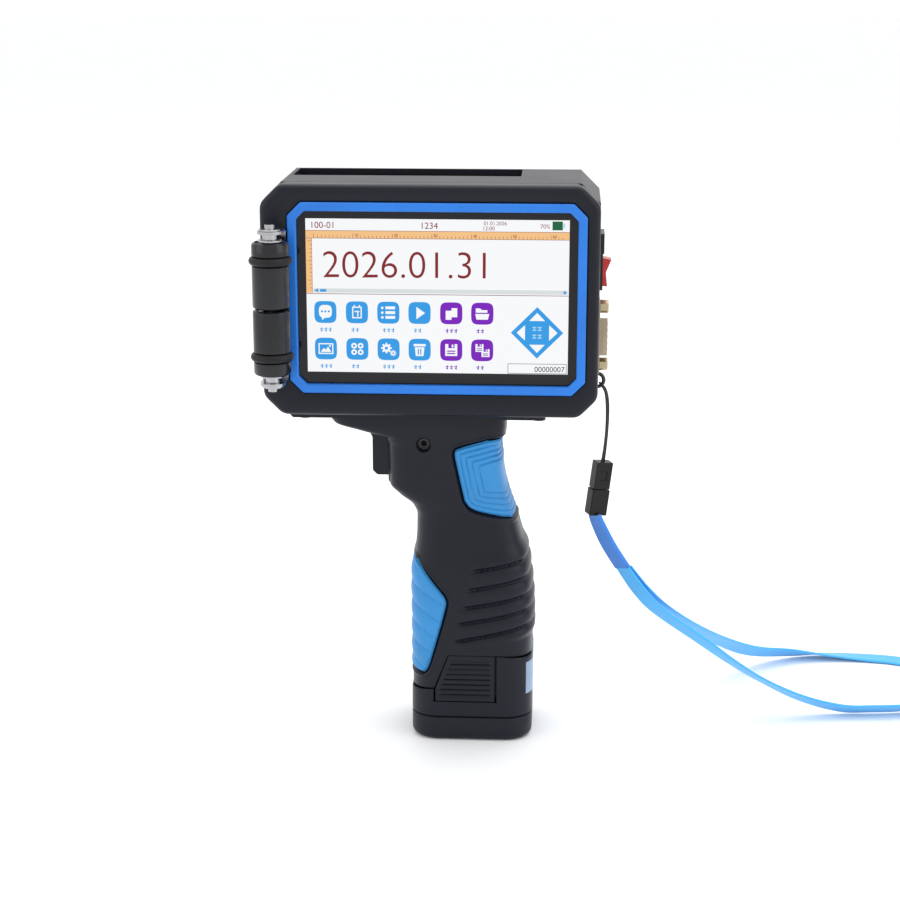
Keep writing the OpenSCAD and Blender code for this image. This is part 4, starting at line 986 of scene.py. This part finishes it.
place.noise(800).between((0.001, 0.001, 0.001), (0.003, 0.003, 0.003)).into(shader, "Base Color")
(place.noise(400) * 0.2 + 0.6).into(shader, "Roughness")
sockets = [lathe([(0.0, owner * 0.00002), (0.0014, owner * 0.00002), (0.0015, 0.0)],
                 (sx / 1000, owner * 0.01581, sz / 1000), "Y", 6, False)
           for sx, sz, owner in SCREWS]
case_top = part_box("case_screws")[1].y
sockets += [lathe([(0.0, 0.00002), (0.0014, 0.00002), (0.0015, 0.0)],
                  (x / 1000, case_top + 0.00001, z / 1000), "Y", 6, False)
            for x, z in ((-77.5, 154.0), (-79.5, 237.5), (44.0, 155.5), (44.0, 240.0))]
add_piece("screw_sockets_painted_shade", *joined(sockets), socket_painted_shade, "head", slot="black_plastic",
          sharp=10)

# ---- soft pads -----------------------------------------------------------------------------
# Blue rubber is moulded into the recesses: a palm pad with nested steps on the heel of the
# grip, and a finger pad with slanted bands low on the side that the fingers wrap round.

grip_blue = moulded("blue_grip_rubber", (0.028, 0.235, 0.55), 0.46, 1500, 0.00005, 0.10,
                    Specular_IOR_Level=0.35)


def pad_grid(edge, end, count, step):
    """Points over a pad: rows up its height, columns from its edge to the middle plane."""
    heights = np.arange(edge[0, 0], edge[-1, 0] + 0.001, step)
    rows = []
    for z, section in zip(heights, section_at(heights)):
        x, y, length = half_outline(section)
        here = np.interp(np.interp(z, edge[:, 0], edge[:, 1]), x, length)
        span = (here, length[-1]) if end > 0 else (0, here)
        places = np.linspace(*span, count)
        rows.append(np.stack([np.interp(places, length, x), np.interp(places, length, y),
                              np.full(count, z)], axis=1))
    return np.array(rows)


for node, edge, end in (("palm_pad", PALM_PAD, 1), ("finger_pad", FINGER_PAD, -1)):
    base = pad_grid(edge, end, 70, 0.3)
    x, z = base[:, :, 0], base[:, :, 2]
    d = -edge_distance(x, z, edge)
    height = -0.8 + 1.05 * soft(d, 0, 0.8)
    if end > 0:
        for k in range(4):
            height += (0.26 * soft(d, 2.2 + 2.3 * k, 2.7 + 2.3 * k)
                       - 0.42 * np.exp(-((d - 2.2 - 2.3 * k) / 0.32) ** 2))
    else:
        phase = (z + 0.55 * x) / 8.5
        height += (1.0 * np.abs(np.cos(np.pi * phase)) ** 0.5 - 0.6) * soft(d, 0.8, 1.8)
    for name, side in (("front", -1), ("rear", 1)):
        grid = base + outward(base) * height[:, :, None]
        middle = -1 if end > 0 else 0
        grid[:, middle, 1] = SPLIT_Y
        add_piece(f"{node}_{name}_rubber", *half_piece(folded(grid, 1.0), side), grip_blue,
                  "head", (f"{node}_{name}",), "blue_plastic", sharp=50)

# ---- trigger -------------------------------------------------------------------------------
# A wide moulded trigger slides in the handle against a coil spring and a small switch.

trigger_black = moulded("trigger_black", (0.0055, 0.0068, 0.0115), 0.36, Specular_IOR_Level=0.26)
eased("trigger", trigger_black, 0.0018, 4)
SPRING = dict(x0=-0.0362, x1=-0.0170, z=0.1257, r=0.0026, wire=0.0004, turns=6)
coil = []
for k in range(SPRING["turns"] * 32 + 1):
    share, turn = k / (SPRING["turns"] * 32), 2 * math.pi * k / 32
    middle = Vector((SPRING["x0"] + SPRING["wire"] + share * (SPRING["x1"] - SPRING["x0"]
                     - 2 * SPRING["wire"]), SPRING["r"] * math.cos(turn),
                     SPRING["z"] + SPRING["r"] * math.sin(turn)))
    out = Vector((0, math.cos(turn), math.sin(turn)))
    coil.append([middle + (out * math.cos(a) + Vector((1, 0, 0)) * math.sin(a)) * SPRING["wire"]
                 for a in (2 * math.pi * j / 8 for j in range(8))])
spring = add_piece("trigger_spring_coil", *bridged(coil), steel, "head", ("trigger_spring",),
                   "steel")
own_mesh(spring)
eased("trigger_switch", port_black, 0.0004)

# ---- battery -------------------------------------------------------------------------------
# The stick battery carries the grip down to a rounded foot. A ribbed latch tab on each face
# springs inward to let it slide out. A plain pale sticker sits on its heel.

def rounded_loop(x0, x1, half, r, z, arc=14):
    """A level rectangle with rounded corners, x0 to x1 and half each way, in millimetres."""
    points = []
    for cx, cy, start in ((x1 - r, half - r, 0), (x0 + r, half - r, 90), (x0 + r, r - half, 180),
                          (x1 - r, r - half, 270)):
        for k in range(arc):
            a = math.radians(start + 90 * k / (arc - 1))
            points.append(((cx + r * math.cos(a)) / 1000, (cy + r * math.sin(a)) / 1000, z / 1000))
    return points[::-1]


def stacked(loops):
    """A closed form from level loops, lowest first."""
    verts, faces = bridged(loops)
    m = len(loops[0])
    faces.append(tuple(range(m)))
    faces.append(tuple(reversed(range(len(verts) - m, len(verts)))))
    return verts, faces


BASE, CAP_H, POCKET = (-26.6, 26.3, 23.5, 12.0), 11.0, (-16.6, 10.9, 18.0)
loops = []
for inset, z in ([(3 - 3 * math.sin(a), 3 - 3 * math.cos(a))
                  for a in (math.pi / 2 * k / 8 for k in range(9))]
                 + [(0, CAP_H - 0.75), (0.15, CAP_H - 0.5), (0.6, CAP_H - 0.2), (3, CAP_H - 0.2)]):
    loops.append(rounded_loop(BASE[0] + inset, BASE[1] - inset, BASE[2] - inset,
                              max(BASE[3] - inset, 1), z))
add_piece("battery_cap_foot", *stacked(loops), charcoal, "battery", ("battery_cap",),
          "housing_plastic", sharp=50)

corner = BASE[3]
arc = [math.pi / 2 * k / 40 for k in range(41)]
side_line = np.array([(BASE[0], 0)]
                     + [(BASE[0] + corner - corner * math.cos(a), -(BASE[2] - corner)
                         - corner * math.sin(a)) for a in arc]
                     + [(BASE[1] - corner + corner * math.sin(a), -(BASE[2] - corner)
                         - corner * math.cos(a)) for a in arc] + [(BASE[1], 0)])
run = np.concatenate([[0], np.cumsum(np.linalg.norm(np.diff(side_line, axis=0), axis=1))])
along_x = np.interp([POCKET[0], POCKET[1]], side_line[1:-1, 0], run[1:-1])


def eased_steps(a, b, count):
    """Steps from a to b that crowd towards both ends."""
    return a + (b - a) * (1 - np.cos(np.linspace(0, np.pi, count))) / 2


LOW_ROWS, SIDE_COLS = 16, 60
stations = np.concatenate([eased_steps(0, along_x[0], SIDE_COLS), eased_steps(*along_x, 40)[1:-1],
                           eased_steps(along_x[1], run[-1], SIDE_COLS)])
px, py = (np.interp(stations, run, side_line[:, i]) for i in (0, 1))
top = np.interp(px, SEAM[:, 0], SEAM[:, 1]) - 0.3
top[:SIDE_COLS] = np.minimum(top[:SIDE_COLS], 23.6)
lower = eased_steps(CAP_H + 0.1, POCKET[2], LOW_ROWS)[:, None] + 0 * px[None]
upper = POCKET[2] + (top[None] - POCKET[2]) * eased_steps(0, 1, 40)[1:, None]
wall_z = np.concatenate([lower, upper])
wall = np.stack([px[None] + 0 * wall_z, py[None] + 0 * wall_z, wall_z], axis=2)
above = wall_z > POCKET[2]
inward = np.minimum(wall_z - CAP_H - 0.1, top[None] - wall_z)
pocket_side = np.minimum(np.abs(stations - along_x[0]), np.abs(stations - along_x[1]))
inward = np.where(above, np.minimum(inward, pocket_side[None]), inward)
wall = wall - outward(wall) * (0.5 * (1 - soft(inward, -0.2, 0.7)))[:, :, None]
wall = wall.copy()
wall[:, [0, -1], 1] = 0
parts = []
for side in (-1, 1):
    grid = folded(wall, 4.3)
    grid[:, 0] = grid[:, 1]
    grid[:, -1] = grid[:, -2]
    parts.append(half_piece(grid, side, lambda r, c: (r >= LOW_ROWS
                                                      and SIDE_COLS <= c <= SIDE_COLS + 38)))
tower = [rounded_loop(-21.4 + inset, 19.4 - inset, 19.1 - inset, 7.3 - inset, z)
         for inset, z in ((0, 12), (0, 70.9), (0.2, 71.3), (0.7, 71.5))]
stem = [rounded_loop(-11 + inset, 7 - inset, 8 - inset, 1.2, z)
        for inset, z in ((0, 71), (0, 79), (0.5, 79.5))]
add_piece("battery_housing_moulding", *joined(parts + [stacked(tower), stacked(stem)]), charcoal,
          "battery", ("battery_housing",), "housing_plastic", sharp=50)
sticker, shader, place = finish("pale_sticker", Roughness=0.4)
place.noise(60).between((0.16, 0.24, 0.38), (0.34, 0.45, 0.60)).into(shader, "Base Color")
place.noise(500, 2).bump(0.1, 0.00003).into(shader, "Normal")
repaint("battery_label", sticker)
wrap = moulded("cell_wrap", (0.02, 0.28, 0.20), 0.3, 600)
repaint("battery_cells", wrap)

LATCH = np.array([(18.2, -15.7), (23.9, -15.7), (39.3, -9.9)])
heights = np.linspace(18.2, 39.3, 170)
share = np.linspace(0, 1, 60)
left = np.interp(heights, LATCH[:, 0], LATCH[:, 1])
lx = left[:, None] + (10.0 - left[:, None]) * share[None]
lz = np.broadcast_to(heights[:, None], lx.shape)
from_edge = np.minimum.reduce([(lx - left[:, None]) * 0.95, 10.0 - lx, lz - 18.2, 39.3 - lz])
ridge = np.abs(np.cos(np.pi * (lz - 20.2) / 2.35)) ** 0.6
within = soft(from_edge, 1.2, 2.0) * soft(lz, 20.2, 20.6) * (1 - soft(lz, 36.6, 37.0))
proud = 0.25 * soft(from_edge, 0, 0.5) - 0.25 + within * (0.75 * ridge - 0.25)
flat = np.stack([lx, -23.5 - proud, lz], axis=2)
for node, side in (("latch_front", -1), ("latch_rear", 1)):
    grid = np.concatenate([flat[:1], flat, flat[-1:]], axis=0)
    grid = np.concatenate([grid[:, :1], grid, grid[:, -1:]], axis=1)
    for ends in (grid[0], grid[-1], grid[:, 0], grid[:, -1]):
        ends[:, 1] = -21.4
    add_piece(node + "_tab", *half_piece(grid, side), charcoal, node, (node,), "housing_plastic",
              sharp=45)

# ---- inside --------------------------------------------------------------------------------
# What the shells hide: the boards, the cartridge in its carrier, the terminals and the leads.

mask_green = moulded("solder_mask", (0.008, 0.13, 0.05), 0.28, 900, 0.00003)
eased("main_board", mask_green, 0.0002)
chip_black = moulded("chip_black", (0.012, 0.012, 0.013), 0.5, 1400)
eased("board_parts", chip_black, 0.0003)
repaint("board_standoffs", brass)
carrier_grey = moulded("carrier_grey", (0.05, 0.05, 0.058), 0.45)
eased("cartridge_carrier", carrier_grey, 0.0004)
eased("terminal_block", carrier_grey, 0.0004)
gold = plated("gold_contacts", (0.90, 0.66, 0.25), 0.2)
repaint("contact_board", gold)
repaint("nozzle_plate", gold)
ink_black = moulded("cartridge_black", (0.018, 0.018, 0.020), 0.3)
eased("cartridge_body", ink_black, 0.0008, 3)
lid_red = moulded("cartridge_lid_red", (0.50, 0.02, 0.015), 0.32)
eased("cartridge_lid", lid_red, 0.0008, 3)
eased("guide_plate", steel, 0.0003)
repaint("guide_screws", dark_steel)
lead_red = moulded("lead_insulation", (0.35, 0.02, 0.02), 0.45, 900)
repaint("battery_leads", lead_red)
